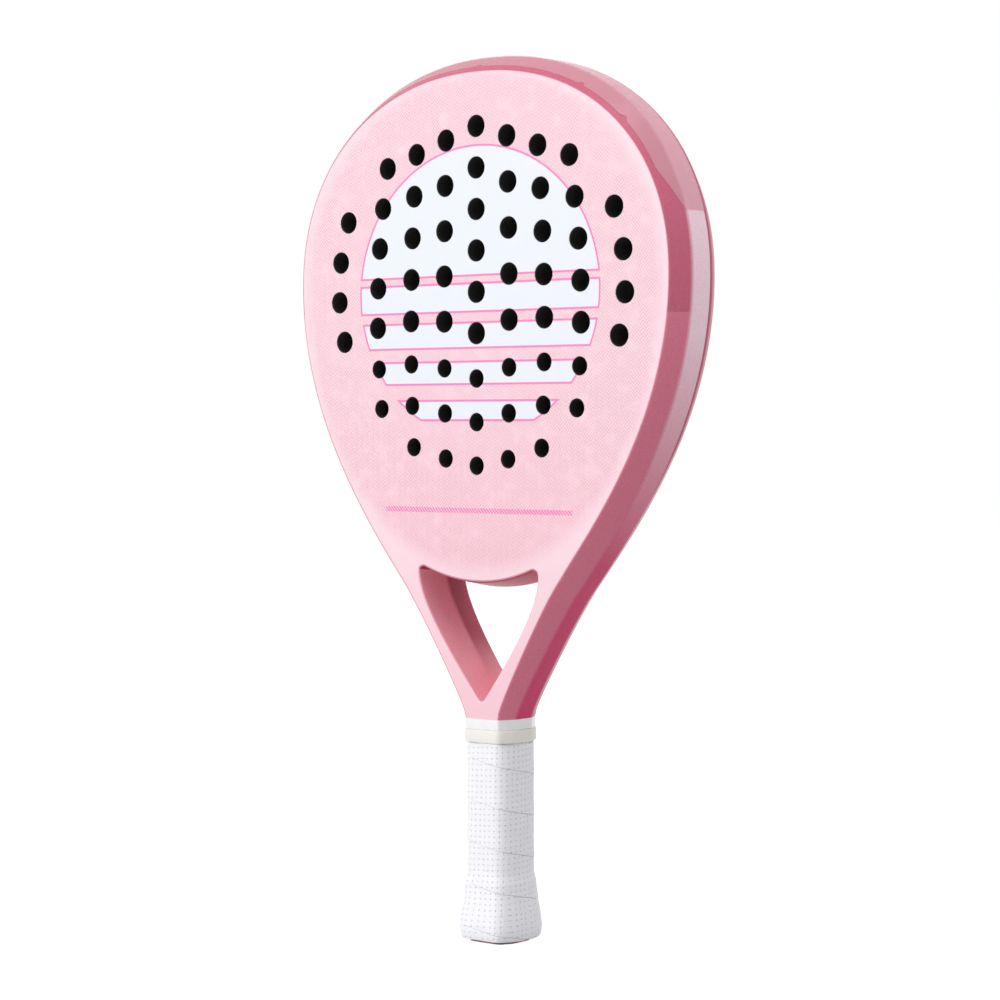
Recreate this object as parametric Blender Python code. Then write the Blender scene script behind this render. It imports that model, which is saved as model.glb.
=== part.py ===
"""Padel racket: a hollow composite tube round a perforated foam core, with an open throat and a wrapped handle.

Sizes are in metres. The origin is the middle of the butt's flat end, the handle runs up +Z, the front face looks
along -Y, and the racket is the same on both sides of the YZ plane and of the XZ plane.
"""

import math

import bmesh
import bpy
import numpy as np

# Overall sizes
LENGTH = 0.455
HEAD_WIDTH = 0.256
THICKNESS = 0.038
HANDLE_WIDTH = 0.031
HANDLE_THICKNESS = 0.0305

# Outer outline of the head and arms
HEAD_RISE = 0.115
HEAD_SQUARENESS = 2.15
SHOULDER_PULL = 0.072
WAIST_HALF_WIDTH = 0.055
WAIST_HEIGHT = 0.1805
WAIST_ANGLE = math.radians(38.7)
WAIST_PULL_UP = 0.0427
WAIST_PULL_DOWN = 0.0166
NECK_PULL = 0.005
BAND_TOP = 0.1158

# Section of the frame tube: a flat side between two chamfers, and a ridge on the throat wall
TUBE_WIDTH = 0.0132
TUBE_WALL = 0.0018
CHAMFER_SIDE = 0.0062
CHAMFER_TOP = 0.0076
CHAMFER_HANDLE = 0.0055
FLAT_HEAD = 0.0165
FLAT_ARM = 0.0128
FLAT_BLEND_TOP = 0.265
FLAT_BLEND_FOOT = 0.215
THROAT_RIDGE = 0.0025
RIDGE_RUN_OUT = 0.012

# Bridge and throat
FOLD_HEIGHT = 0.2
BRIDGE_DEPTH = 0.0135
BRIDGE_SAG = 0.0103
BRIDGE_CORNER_RADIUS = 0.006
BRIDGE_RIDGE = 0.0015
BRIDGE_WALL = 0.002
# The foot of the throat: its rise above the band, the round at its bottom, and the tips that run up the legs
THROAT_FOOT_RISE = 0.0092
THROAT_FOOT_RADIUS = 0.002
SPINE_TIP_RISE = 0.0108
LEAST_TIP = 0.0005

# Faces, core and the clearance that a glue line takes
SKIN = 0.0012
GLUE = 0.0003

# Drilled holes: each column leans out like a barrel stave, and the lower ones are drilled smaller
HOLE_LARGE = 0.0113
HOLE_SMALL = 0.0094
HOLE_EDGE_MARGIN = 0.004
HOLE_WEB = 0.005
TOP_ROW_DROP = 0.0358
ROOF_FALL = 0.0061
SMALL_HOLE_DROP = 0.151
SMALL_GROUP_STEP = 0.0008
FIELD_FLOOR_RISE = 0.035
FIELD_FLOOR_RADIUS = 0.0625
MIDDLE_PITCH = 0.0211
MIDDLE_PITCH_SMALL = 0.0223
# Offset from the middle, bow radius, drop of the waist below the widest point, and pitch
STAVES = (
    (0.0216, 3.1, 0.0195, 0.02325),
    (0.0444, 1.0, 0.0245, 0.02156),
    (0.0676, 0.424, 0.0175, 0.0208),
)
SIDE_STAVE = (0.095, 0.098, 0.0024, 0.02106)
SIDE_STAVE_DROP = 0.081

# Handle, grip and butt
SLEEVE_WALL = 0.001
BAND_STEP = 0.0006
GRIP_RECESS = 0.003
BAND_HEIGHT = 0.0052
SHOULDER_SLOPE = 0.0024
TAPE_THICKNESS = 0.0023
TAPE_SKIVED = 0.0007
TAPE_PITCH = 0.0216
TAPE_SEAM = 0.0006
TAPE_FOOT = 0.0032
TAPE_OVER_CAP = 0.0006
TAPE_RIDE = 0.006
SKIVE_LENGTH = 0.0015
FINISH_THICKNESS = 0.0003
COLLAR_HEIGHT = 0.0067
COLLAR_LIP = 0.0016
COLLAR_PROUD = 0.0003
COLLAR_EDGE = 0.0008
CORNER_TIGHT = 0.0006
CORNER_SOFT = 0.003
COLLAR_CORNER = 0.0014
CAP_FLOOR = 0.004
CAP_HEIGHT = 0.03
CAP_LIP = 0.0005
CAP_FLARE = 0.0037
CAP_WIDEST = 0.0075
CAP_EDGE = 0.003
CAP_EDGE_TURN = 0.96
CORD_HOLE = 0.006
CORD_POCKET = 0.01
FOAM_TOP_GAP = 0.004

# Tacks that hold the butt cap
TACK_HEIGHT = 0.016
TACK_HEAD = 0.0036
TACK_HEAD_DEPTH = 0.0008
TACK_SHANK = 0.0016
TACK_LENGTH = 0.0085
TACK_STRAIGHT = 0.75
TACK_POINT = 0.0005

# Clear film over the top of the rim
FILM = 0.0005
FILM_END_DROP = 0.083
FILM_TAPER = 0.022
FILM_CHAMFER_SHARE = 0.85
FILM_TIP = 0.0006

# How finely the curves are divided
TOP_STEPS = 13
HEAD_STEPS = 12
NECK_STEPS = 8
HOLE_SIDES = 10
BRIDGE_STEPS = 8
CORNER_STEPS = 4
FOOT_STEPS = 4
RIDE_STEPS = 2
FLARE_STEPS = 5
CAP_EDGE_STEPS = 3
TACK_SIDES = 8
FILM_END_STEPS = 6
STATION_ROOM = 0.02
FINE_STEPS = 6001
MERGE_DISTANCE = 1e-6

HALF_WIDTH = HEAD_WIDTH / 2
HALF_HANDLE = HANDLE_WIDTH / 2
WIDEST = LENGTH - HEAD_RISE
SHOULDER_HEIGHT = BAND_TOP - BAND_HEIGHT
THROAT_FOOT_HEIGHT = BAND_TOP + THROAT_FOOT_RISE
SPINE_TIP = THROAT_FOOT_HEIGHT + SPINE_TIP_RISE
LEG_FOOT = CAP_FLOOR + GLUE
LEG_STEP_FOOT = BAND_TOP + GLUE
LEG_STEP_TOP = LEG_STEP_FOOT + BAND_STEP
SLEEVE_INSET = SLEEVE_WALL + GLUE
TAPE_INSET = GRIP_RECESS - GLUE
COLLAR_TOP = SHOULDER_HEIGHT - GLUE
COLLAR_FOOT = COLLAR_TOP - COLLAR_HEIGHT
TAPE_TOP = COLLAR_TOP - COLLAR_LIP - GLUE


def clear_scene():
    """Removes whatever the file opened with."""
    for thing in list(bpy.data.objects):
        bpy.data.objects.remove(thing, do_unlink=True)


def material(name, colour, roughness, metallic=0.0):
    """A plain surface of one colour."""
    made = bpy.data.materials.new(name)
    made.use_nodes = True
    shader = made.node_tree.nodes["Principled BSDF"]
    shader.inputs["Base Color"].default_value = (*colour, 1.0)
    shader.inputs["Roughness"].default_value = roughness
    shader.inputs["Metallic"].default_value = metallic
    return made


def add_object(name, points, faces, surface, smooth_angle=math.radians(30)):
    """A closed body from points and faces, with doubled points merged and every face turned outwards."""
    mesh = bpy.data.meshes.new(name)
    mesh.from_pydata(np.asarray(points, float).tolist(), [], [tuple(map(int, face)) for face in faces])
    work = bmesh.new()
    work.from_mesh(mesh)
    bmesh.ops.remove_doubles(work, verts=work.verts, dist=MERGE_DISTANCE)
    bmesh.ops.dissolve_degenerate(work, edges=work.edges, dist=MERGE_DISTANCE)
    bmesh.ops.triangulate(work, faces=[face for face in work.faces if len(face.verts) > 4])
    bmesh.ops.recalc_face_normals(work, faces=work.faces)
    work.to_mesh(mesh)
    work.free()
    mesh.shade_smooth()
    mesh.set_sharp_from_angle(angle=smooth_angle)
    thing = bpy.data.objects.new(name, mesh)
    thing.data.materials.append(surface)
    bpy.context.scene.collection.objects.link(thing)
    return thing


def grid_faces(rows, columns, first=0, around=False):
    """Quads between neighbouring rows of points, closed round each row where asked."""
    span = columns if around else columns - 1
    row, column = np.meshgrid(np.arange(rows - 1), np.arange(span), indexing="ij")
    following = (column + 1) % columns
    quads = np.stack(
        [row * columns + column, row * columns + following,
         (row + 1) * columns + following, (row + 1) * columns + column],
        axis=-1,
    )
    return (quads.reshape(-1, 4) + first).tolist()


def loft(rings):
    """Points and faces of a solid skinned over rings of equal length, with both ends closed."""
    rings = np.asarray(rings)
    rows, columns = rings.shape[:2]
    faces = grid_faces(rows, columns, around=True)
    faces.append(list(range(columns))[::-1])
    faces.append(list(range((rows - 1) * columns, rows * columns)))
    return rings.reshape(-1, 3), faces


def closed_loft(rings):
    """Points and faces of a solid skinned over rings that come back to the first one."""
    rings = np.asarray(rings)
    rows, columns = rings.shape[:2]
    again = np.concatenate([rings, rings[:1]])
    return again.reshape(-1, 3), grid_faces(rows + 1, columns, around=True)


def ease(value, low, high):
    """0 below low, 1 above high, and a smooth step between them."""
    share = np.clip((np.asarray(value, float) - low) / (high - low), 0, 1)
    return share * share * (3 - 2 * share)


def bezier(corners, share):
    """Points of a cubic curve with four control points."""
    share = np.asarray(share)[:, None]
    start, first, second, end = (np.asarray(corner) for corner in corners)
    rest = 1 - share
    return rest**3 * start + 3 * share * rest**2 * first + 3 * share**2 * rest * second + share**3 * end


# Outer outline

def outline_points(place):
    """Right half of the outer outline in XZ. place is 0 at the top, 1 at the widest point, 2 at the waist,
    3 where the handle starts and 4 at the foot of the legs."""
    place = np.atleast_1d(np.asarray(place, float))
    points = np.empty((len(place), 2))
    turn = np.clip(place, -1, 1) * math.pi / 2
    power = 2 / HEAD_SQUARENESS
    points[:, 0] = HALF_WIDTH * np.sign(np.sin(turn)) * np.abs(np.sin(turn)) ** power
    points[:, 1] = WIDEST + HEAD_RISE * np.abs(np.cos(turn)) ** power
    lean = np.array([math.sin(WAIST_ANGLE), math.cos(WAIST_ANGLE)])
    widest = np.array([HALF_WIDTH, WIDEST])
    waist = np.array([WAIST_HALF_WIDTH, WAIST_HEIGHT])
    neck = np.array([HALF_HANDLE, BAND_TOP])
    down = np.array([0, -1.0])
    shoulder = (place > 1) & (place <= 2)
    points[shoulder] = bezier(
        (widest, widest + SHOULDER_PULL * down, waist + WAIST_PULL_UP * lean, waist), place[shoulder] - 1
    )
    arm = (place > 2) & (place <= 3)
    points[arm] = bezier(
        (waist, waist - WAIST_PULL_DOWN * lean, neck - NECK_PULL * down, neck), place[arm] - 2
    )
    handle = place > 3
    points[handle, 0] = HALF_HANDLE
    points[handle, 1] = BAND_TOP - (place[handle] - 3) * (BAND_TOP - LEG_FOOT)
    return points


def inward(place):
    """Unit normals of the outline that point into the racket."""
    step = 1e-4
    along = outline_points(np.asarray(place) + step) - outline_points(np.asarray(place) - step)
    along /= np.linalg.norm(along, axis=1)[:, None]
    return np.stack([along[:, 1], -along[:, 0]], axis=1)


def offset(place, distance):
    """Points of the outline moved inwards."""
    return outline_points(place) + inward(place) * np.reshape(distance, (-1, 1))


LOWER_PLACES = np.linspace(1, 4, FINE_STEPS)
WALL_HEIGHTS = offset(LOWER_PLACES, TUBE_WIDTH)[:, 1]


def place_of_wall(height):
    """Where along the outline the tube's inner wall is at this height."""
    return np.interp(-np.asarray(height), -WALL_HEIGHTS, LOWER_PLACES)


def thickness_at(height):
    """Full in the head, then an even taper through the arms to the handle."""
    share = np.clip((np.asarray(height) - BAND_TOP) / (FOLD_HEIGHT - BAND_TOP), 0, 1)
    return HANDLE_THICKNESS + (THICKNESS - HANDLE_THICKNESS) * share


def flat_at(height):
    """Depth of the flat side."""
    return FLAT_ARM + (FLAT_HEAD - FLAT_ARM) * ease(height, FLAT_BLEND_FOOT, FLAT_BLEND_TOP)


def chamfer_at(place):
    """Width of the chamfers seen from the front: narrow on the handle and wider over the top of the head."""
    facing_up = np.clip(-inward(place)[:, 1], 0, 1)
    height = outline_points(place)[:, 1]
    arm = CHAMFER_HANDLE + (CHAMFER_SIDE - CHAMFER_HANDLE) * ease(height, BAND_TOP, FOLD_HEIGHT)
    return arm + (CHAMFER_TOP - CHAMFER_SIDE) * facing_up**2


def inset_corner(front, side, distance):
    """Both ends of a chamfer after it and its two neighbours move inwards by the same distance. front and side
    hold the distance from the outer outline and the distance from the middle plane."""
    width = front[0] - side[0]
    depth = front[1] - side[1]
    slant = np.hypot(width, depth)
    new_front = (front[0] + distance * (slant - width) / depth, front[1] - distance)
    new_side = (side[0] + distance, side[1] - distance * (slant - depth) / width)
    return new_front, new_side


# Stations along the frame tube

def tube_places():
    """Stations of one half of the tube from the top down, and how far each is stepped in under the sleeve."""
    head = np.linspace(0, 1, TOP_STEPS + 1)
    shoulder = np.linspace(1, 2, HEAD_STEPS + 1)[1:]
    arm = np.linspace(2, 3, NECK_STEPS + 1)[1:-1]
    ledge = place_of_wall([FOLD_HEIGHT, FOLD_HEIGHT - GLUE])
    free = np.concatenate([head, shoulder, arm])
    clear = np.abs(free[:, None] - ledge).min(axis=1) > STATION_ROOM
    band = place_of_wall(LEG_STEP_TOP)
    places = np.sort(np.concatenate([free[clear], ledge]))
    places = places[places < band - STATION_ROOM]
    handle_heights = np.array([
        LEG_STEP_TOP, LEG_STEP_FOOT, SHOULDER_HEIGHT + SLEEVE_WALL + SHOULDER_SLOPE + GLUE,
        SHOULDER_HEIGHT + SLEEVE_WALL + GLUE, LEG_FOOT,
    ])
    deep = SLEEVE_INSET + GRIP_RECESS
    insets = np.array([0, SLEEVE_INSET, SLEEVE_INSET, deep, deep])
    all_places = np.concatenate([places, place_of_wall(handle_heights)])
    return all_places, np.concatenate([np.zeros(len(places)), insets])


def wall_stations():
    """Corners of the tube's inner wall, from the foot of the leg up to the top."""
    return offset(tube_places()[0], TUBE_WIDTH)[::-1]


def leg_wall(height):
    """Half-width between the legs' inner walls, which run straight from station to station."""
    corners = wall_stations()
    return np.interp(height, corners[:, 1], corners[:, 0])


# Throat: the foot between the legs and the curve under the bridge

BRIDGE_FOOT = FOLD_HEIGHT - BRIDGE_DEPTH
BRIDGE_HALF = float(leg_wall(BRIDGE_FOOT))
BRIDGE_RADIUS = (BRIDGE_HALF**2 + BRIDGE_SAG**2) / (2 * BRIDGE_SAG)


def throat_half_width(height):
    """Half-width of the foot between the legs: a hyperbola, round at its lowest point, whose straight sides come
    out to the legs at the spine's tips."""
    rise = np.clip(np.asarray(height, float) - THROAT_FOOT_HEIGHT, 0, None)
    reach = float(leg_wall(SPINE_TIP)) - GLUE - LEAST_TIP
    radius = min(THROAT_FOOT_RADIUS, reach**2 / (4 * SPINE_TIP_RISE))
    slope = math.sqrt(reach**2 - 2 * radius * SPINE_TIP_RISE) / SPINE_TIP_RISE
    return np.sqrt((slope * rise) ** 2 + 2 * radius * rise)


def ridge_at(height):
    """The throat wall's ridge at stations from the top down. It runs out at the bridge, and a whole station
    clear of the spine's tip."""
    below = np.append(height[1:], height[-1])
    rise = ease(below, SPINE_TIP, SPINE_TIP + RIDGE_RUN_OUT)
    fall = ease(height, BRIDGE_FOOT - RIDGE_RUN_OUT, BRIDGE_FOOT)
    return THROAT_RIDGE * rise * (1 - fall)


def bridge_underside():
    """Curve under the bridge from left to right in XZ: an arc that bulges down, rounded into both arms."""
    arc_centre = np.array([0, BRIDGE_FOOT + BRIDGE_RADIUS])
    route = offset(LOWER_PLACES, TUBE_WIDTH + GLUE + BRIDGE_CORNER_RADIUS)
    reach = np.linalg.norm(route - arc_centre, axis=1) - (BRIDGE_RADIUS + BRIDGE_CORNER_RADIUS)
    below = (route[:, 1] < FOLD_HEIGHT) & (route[:, 1] > SPINE_TIP)
    nearest = np.flatnonzero(below)[np.argmin(np.abs(reach[below]))]
    corner = route[nearest]
    wall_side = -inward(LOWER_PLACES[nearest:nearest + 1])[0]
    arc_side = (arc_centre - corner) / np.linalg.norm(arc_centre - corner)
    start = math.atan2(arc_side[1], arc_side[0])
    end = math.atan2(wall_side[1], wall_side[0])
    turn = np.linspace(start, end, CORNER_STEPS + 2)[1:-1]
    rounded = corner + BRIDGE_CORNER_RADIUS * np.stack([np.cos(turn), np.sin(turn)], axis=1)
    half_angle = math.asin((corner[0] + BRIDGE_CORNER_RADIUS * arc_side[0]) / BRIDGE_RADIUS)
    sweep = np.linspace(-half_angle, half_angle, 2 * BRIDGE_STEPS + 1)
    arc = arc_centre + BRIDGE_RADIUS * np.stack([np.sin(sweep), -np.cos(sweep)], axis=1)
    mirrored = rounded[::-1] * np.array([-1, 1])
    return np.concatenate([mirrored, arc, rounded])


# Frame tube

def tube_section(place, inset):
    """Distance from the outline and distance from the middle plane of the section's corners: the inner front
    corner, both ends of the front chamfer, and the ridge."""
    wall = offset(place, TUBE_WIDTH)[:, 1]
    half = thickness_at(wall) / 2
    flat = flat_at(wall) / 2
    chamfer = chamfer_at(place)
    under_skin = wall >= FOLD_HEIGHT - GLUE / 2
    level = half - np.where(under_skin, SKIN + GLUE, 0)
    width = chamfer * (level - flat) / (half - flat)
    front, side = inset_corner((width, level), (np.zeros_like(width), flat), inset)
    ridge = TUBE_WIDTH + np.where(under_skin, 0, ridge_at(wall))
    return np.full_like(width, TUBE_WIDTH), front, side, ridge


def section_rings(place, inner, front, side, ridge):
    """Rings of seven points, from the inner front corner round the outside to the ridge, at every station."""
    across = np.stack([inner, front[0], side[0], side[0], front[0], inner, ridge], axis=1)
    zero = np.zeros_like(inner)
    deep = np.stack([-front[1], -front[1], -side[1], side[1], front[1], front[1], zero], axis=1)
    base = outline_points(place)[:, None, :]
    normal = inward(place)[:, None, :]
    flat = base + normal * across[:, :, None]
    return np.stack([flat[:, :, 0], deep, flat[:, :, 1]], axis=2)


def both_sides(rings):
    """Stations from the right leg over the top to the left leg. The top station is shared."""
    left = rings[1:] * np.array([-1, 1, 1])
    return np.concatenate([rings[::-1], left])


def hollow_section(place, inset):
    """The tube's section moved in by the wall."""
    inner, front, side, ridge = tube_section(place, inset)
    front, side = inset_corner(front, side, TUBE_WALL)
    return inner - TUBE_WALL, front, side, ridge - TUBE_WALL


def make_frame_tube(surface):
    places, insets = tube_places()
    outer = both_sides(section_rings(places, *tube_section(places, insets)))
    inner = both_sides(section_rings(places, *hollow_section(places, insets)))
    rows, columns = outer.shape[:2]
    count = rows * columns
    faces = grid_faces(rows, columns, around=True)
    faces += grid_faces(rows, columns, first=count, around=True)
    for start in (0, (rows - 1) * columns):
        for column in range(columns):
            following = (column + 1) % columns
            faces.append((start + column, start + following, count + start + following, count + start + column))
    points = np.concatenate([outer.reshape(-1, 3), inner.reshape(-1, 3)])
    return add_object("frame_tube", points, faces, surface)


# Drilled holes

def hole_columns():
    """Each column of holes on the right half: offset, bow radius, waist height, top hole and two pitches."""
    top = LENGTH - TOP_ROW_DROP
    columns = [(0.0, math.inf, WIDEST, top, MIDDLE_PITCH, MIDDLE_PITCH_SMALL)]
    for number, (reach, bow, drop, pitch) in enumerate(STAVES, start=1):
        columns.append((reach, bow, WIDEST - drop, top - ROOF_FALL * number, pitch, pitch))
    reach, bow, drop, pitch = SIDE_STAVE
    columns.append((reach, bow, WIDEST - drop, LENGTH - SIDE_STAVE_DROP, pitch, pitch))
    return columns


def drilled_holes(border):
    """Middle and radius of every hole that keeps its margin to the border and a web to its neighbours, and lies
    above the field's floor."""
    holes = []
    small_line = LENGTH - SMALL_HOLE_DROP
    for reach, bow, waist, height, pitch, small_pitch in hole_columns():
        small = False
        while True:
            across = reach - (height - waist) ** 2 / (2 * bow)
            radius = (HOLE_SMALL if small else HOLE_LARGE) / 2
            if height < FOLD_HEIGHT + FIELD_FLOOR_RISE + across**2 / (2 * FIELD_FLOOR_RADIUS):
                break
            room = np.linalg.norm(border - np.array([across, height]), axis=1).min() - HOLE_EDGE_MARGIN
            webs = [math.hypot(across - x, height - z) - other - HOLE_WEB for x, z, other in holes]
            if min([room, *webs]) > radius:
                holes += [(side * across, height, radius) for side in ((1, -1) if reach else (1,))]
            lower = height - (small_pitch if small else pitch)
            if not small and lower < small_line:
                small = True
                lower = height - small_pitch - SMALL_GROUP_STEP
            height = lower
    return holes


def hole_ring(across, height, radius):
    """Corners of one drilled hole, on its true radius."""
    turn = np.linspace(0, 2 * math.pi, HOLE_SIDES, endpoint=False)
    return np.stack([across + radius * np.cos(turn), height + radius * np.sin(turn)], axis=1)


def fill_with_holes(loops):
    """Triangles of a flat face inside the first loop and outside the rest, as indices of the loops end to end."""
    work = bmesh.new()
    edges = []
    for loop in loops:
        corners = [work.verts.new((x, 0, z)) for x, z in loop]
        edges += [work.edges.new(pair) for pair in zip(corners, corners[1:] + corners[:1])]
    work.verts.index_update()
    made = bmesh.ops.triangle_fill(work, use_beauty=True, edges=edges, normal=(0, -1, 0))["geom"]
    triangles = [
        [corner.index for corner in item.verts] for item in made if isinstance(item, bmesh.types.BMFace)
    ]
    work.free()
    return triangles


def perforated_plate(name, front_border, back_border, front_level, back_level, holes, surface):
    """A flat plate with drilled holes, whose border may lean between its two faces."""
    rings = [hole_ring(*hole) for hole in holes]
    front = [front_border, *rings]
    back = [back_border, *rings]
    triangles = np.array(fill_with_holes(front))
    front_points = np.concatenate(front)
    back_points = np.concatenate(back)
    count = len(front_points)
    points = np.zeros((2 * count, 3))
    points[:count, [0, 2]] = front_points
    points[count:, [0, 2]] = back_points
    points[:count, 1] = front_level
    points[count:, 1] = back_level
    faces = triangles.tolist() + (triangles[:, ::-1] + count).tolist()
    start = 0
    for loop in front:
        corner = np.arange(len(loop))
        following = (corner + 1) % len(loop)
        wall = np.stack([corner, following, following + count, corner + count], axis=1) + start
        faces += wall.tolist()
        start += len(loop)
    return add_object(name, points, faces, surface)


def head_border(distance_of):
    """Closed border of the head at a distance from the outline, ended by the fold line."""
    fold = float(place_of_wall(FOLD_HEIGHT))
    free = np.concatenate([np.linspace(0, 1, TOP_STEPS + 1), np.linspace(1, 2, HEAD_STEPS + 1)[1:]])
    places = np.append(free[free < fold - STATION_ROOM], fold)
    return offset(places, distance_of(places))


def mirrored_loop(right):
    """A closed loop from the points of its right half, the first of which lies on the middle plane."""
    left = right[:0:-1] * np.array([-1, 1])
    return np.concatenate([right, left])


def core_border():
    return mirrored_loop(head_border(lambda places: np.full(len(places), TUBE_WIDTH + GLUE)))


def skin_border(depth):
    """Border of a face skin at a depth below its outer face: it follows the chamfer, and steps in along the
    arms' ends to the fold line."""
    def chamfer_line(places):
        half = THICKNESS / 2
        flat = flat_at(offset(places, TUBE_WIDTH)[:, 1]) / 2
        return chamfer_at(places) * (half - depth - flat) / (half - flat)
    right = head_border(chamfer_line)
    inner_end = offset([float(place_of_wall(FOLD_HEIGHT))], TUBE_WIDTH)
    return mirrored_loop(np.concatenate([right, inner_end]))


def make_head(core_surface, front_surface, rear_surface):
    border = core_border()
    holes = drilled_holes(border)
    level = THICKNESS / 2 - SKIN - GLUE
    perforated_plate("eva_core", border, border, -level, level, holes, core_surface)
    outer = THICKNESS / 2
    for name, side, surface in (("front_face_skin", -1, front_surface), ("rear_face_skin", 1, rear_surface)):
        perforated_plate(
            name, skin_border(0), skin_border(SKIN), side * outer, side * (outer - SKIN), holes, surface
        )


# Bridge

def bridge_rings(bottom, top_reach, top, ridge, side_clearance):
    """Rings across the bridge from left to right. Each has two upper corners, two lower ones and the ridge."""
    upper_x = bottom[:, 0] * top_reach / bottom[-1, 0]
    upper_y = np.full(len(bottom), thickness_at(top) / 2 - side_clearance)
    lower_y = thickness_at(bottom[:, 1]) / 2 - side_clearance
    upper_z = np.full(len(bottom), top)
    zero = np.zeros(len(bottom))
    return np.stack([
        np.stack([upper_x, -upper_y, upper_z], axis=1),
        np.stack([bottom[:, 0], -lower_y, bottom[:, 1]], axis=1),
        np.stack([bottom[:, 0], zero, bottom[:, 1] - ridge], axis=1),
        np.stack([bottom[:, 0], lower_y, bottom[:, 1]], axis=1),
        np.stack([upper_x, upper_y, upper_z], axis=1),
    ], axis=1)


def plug_bottom(wall):
    """Underside of the foam plug: the bridge's own arc raised by a wall, and short of both arms."""
    centre = BRIDGE_FOOT + BRIDGE_RADIUS
    radius = BRIDGE_RADIUS - wall
    reach = bridge_underside()[-CORNER_STEPS - 1, 0] - BRIDGE_CORNER_RADIUS + (BRIDGE_WALL - wall)
    sweep = np.linspace(-1, 1, 2 * BRIDGE_STEPS + 1) * math.asin(reach / radius)
    return np.stack([radius * np.sin(sweep), centre - radius * np.cos(sweep)], axis=1)


def make_bridge(shell_surface, foam_surface):
    top = FOLD_HEIGHT - GLUE
    underside = bridge_underside()
    reach = float(offset([float(place_of_wall(top))], TUBE_WIDTH + GLUE)[0, 0])
    taper = np.clip(np.linspace(0, 2 * BRIDGE_STEPS, len(underside)) / CORNER_STEPS, 0, 1)
    ridge = BRIDGE_RIDGE * taper * taper[::-1]
    shell = add_object("bridge_shell", *loft(bridge_rings(underside, reach, top, ridge, 0)), shell_surface)
    pocket_floor = plug_bottom(BRIDGE_WALL)
    pocket = add_object(
        "bridge_pocket_cutter",
        *loft(bridge_rings(pocket_floor, pocket_floor[-1, 0], top + GLUE, 0, BRIDGE_WALL)),
        shell_surface,
    )
    cut(shell, pocket)
    plug_floor = plug_bottom(BRIDGE_WALL + GLUE)
    add_object(
        "bridge_foam",
        *loft(bridge_rings(plug_floor, plug_floor[-1, 0], top, 0, BRIDGE_WALL + GLUE)),
        foam_surface,
    )


def cut(thing, cutter):
    """Takes the cutter's shape out of a piece, and sets the cutter aside as a guide."""
    cutter.hide_render = True
    cutter.display_type = "WIRE"
    taking = thing.modifiers.new(cutter.name, "BOOLEAN")
    taking.operation = "DIFFERENCE"
    taking.solver = "EXACT"
    taking.object = cutter


# Spine between the legs

def spine_heights():
    """Rows of the spine from its foot to the tips beside the round of the throat."""
    deep_top = SHOULDER_HEIGHT + SLEEVE_WALL + GLUE
    low = np.array([
        LEG_FOOT + CORD_POCKET, deep_top, deep_top + SHOULDER_SLOPE, LEG_STEP_FOOT, LEG_STEP_TOP,
    ])
    insets = np.array([SLEEVE_INSET + GRIP_RECESS, SLEEVE_INSET + GRIP_RECESS, SLEEVE_INSET, SLEEVE_INSET, 0])
    climb = np.linspace(0, 1, FOOT_STEPS + 1) ** 2
    round_heights = THROAT_FOOT_HEIGHT + (SPINE_TIP - THROAT_FOOT_HEIGHT) * climb
    stations = wall_stations()[:, 1]
    stations = stations[(stations > LEG_STEP_TOP + GLUE) & (stations < SPINE_TIP)]
    stations = stations[np.abs(stations[:, None] - round_heights).min(axis=1) > GLUE]
    high = np.sort(np.concatenate([stations, round_heights]))
    return np.concatenate([low, high]), np.concatenate([insets, np.zeros(len(high))])


def make_spine(surface):
    heights, insets = spine_heights()
    wall = leg_wall(heights) - GLUE
    inner = throat_half_width(heights)
    depth = thickness_at(heights) / 2 - insets
    rows = len(heights)
    points = []
    for side in (-1, 1):
        for across in (-wall, -inner, inner, wall):
            points.append(np.stack([across, side * depth, heights], axis=1))
    points = np.concatenate(points)
    faces = []

    def sheet(first, second):
        """Quads between two columns of points."""
        row = np.arange(rows - 1)
        return np.stack([first * rows + row, second * rows + row,
                         second * rows + row + 1, first * rows + row + 1], axis=1).tolist()

    for first, second in ((0, 1), (2, 3), (5, 4), (7, 6), (3, 7), (4, 0)):
        faces += sheet(first, second)
    open_rows = np.flatnonzero(inner > 0)[0] - 1
    for first, second in ((1, 5), (6, 2)):
        faces += sheet(first, second)[open_rows:]
    last = rows - 1
    for corners in ((0, 1, 5, 4), (2, 3, 7, 6)):
        faces.append([corner * rows for corner in corners])
        faces.append([corner * rows + last for corner in corners])
    return add_object("handle_spine", points, faces, surface)


# Rings round the handle: octagons like the handle's own section, moved in or out

def handle_ring(inset, corner_cut):
    """Sixteen corners of the handle's octagon moved in by a distance, with each corner cut back a little."""
    half = HANDLE_THICKNESS / 2
    flat = FLAT_ARM / 2
    front, side = inset_corner((CHAMFER_HANDLE, half), (0.0, flat), inset)
    quarter = [(HALF_HANDLE - side[0], side[1]), (HALF_HANDLE - front[0], front[1])]
    quarters = [(sx * x, sy * y) for sx, sy in ((1, 1), (-1, 1), (-1, -1), (1, -1)) for x, y in
                (quarter if sx * sy > 0 else quarter[::-1])]
    corners = np.array(quarters)
    back = np.roll(corners, 1, axis=0) - corners
    ahead = np.roll(corners, -1, axis=0) - corners
    back /= np.linalg.norm(back, axis=1)[:, None]
    ahead /= np.linalg.norm(ahead, axis=1)[:, None]
    return np.stack([corners + back * corner_cut, corners + ahead * corner_cut], axis=1).reshape(-1, 2)


def lifted(ring, height):
    """A flat ring set at a height."""
    return np.column_stack([ring, np.full(len(ring), height)])


def ring_solid(name, profile, surface):
    """A solid round the handle from a closed profile of inset, height and corner cut."""
    rings = [lifted(handle_ring(inset, corner_cut), height) for inset, height, corner_cut in profile]
    return add_object(name, *closed_loft(rings), surface)


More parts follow.
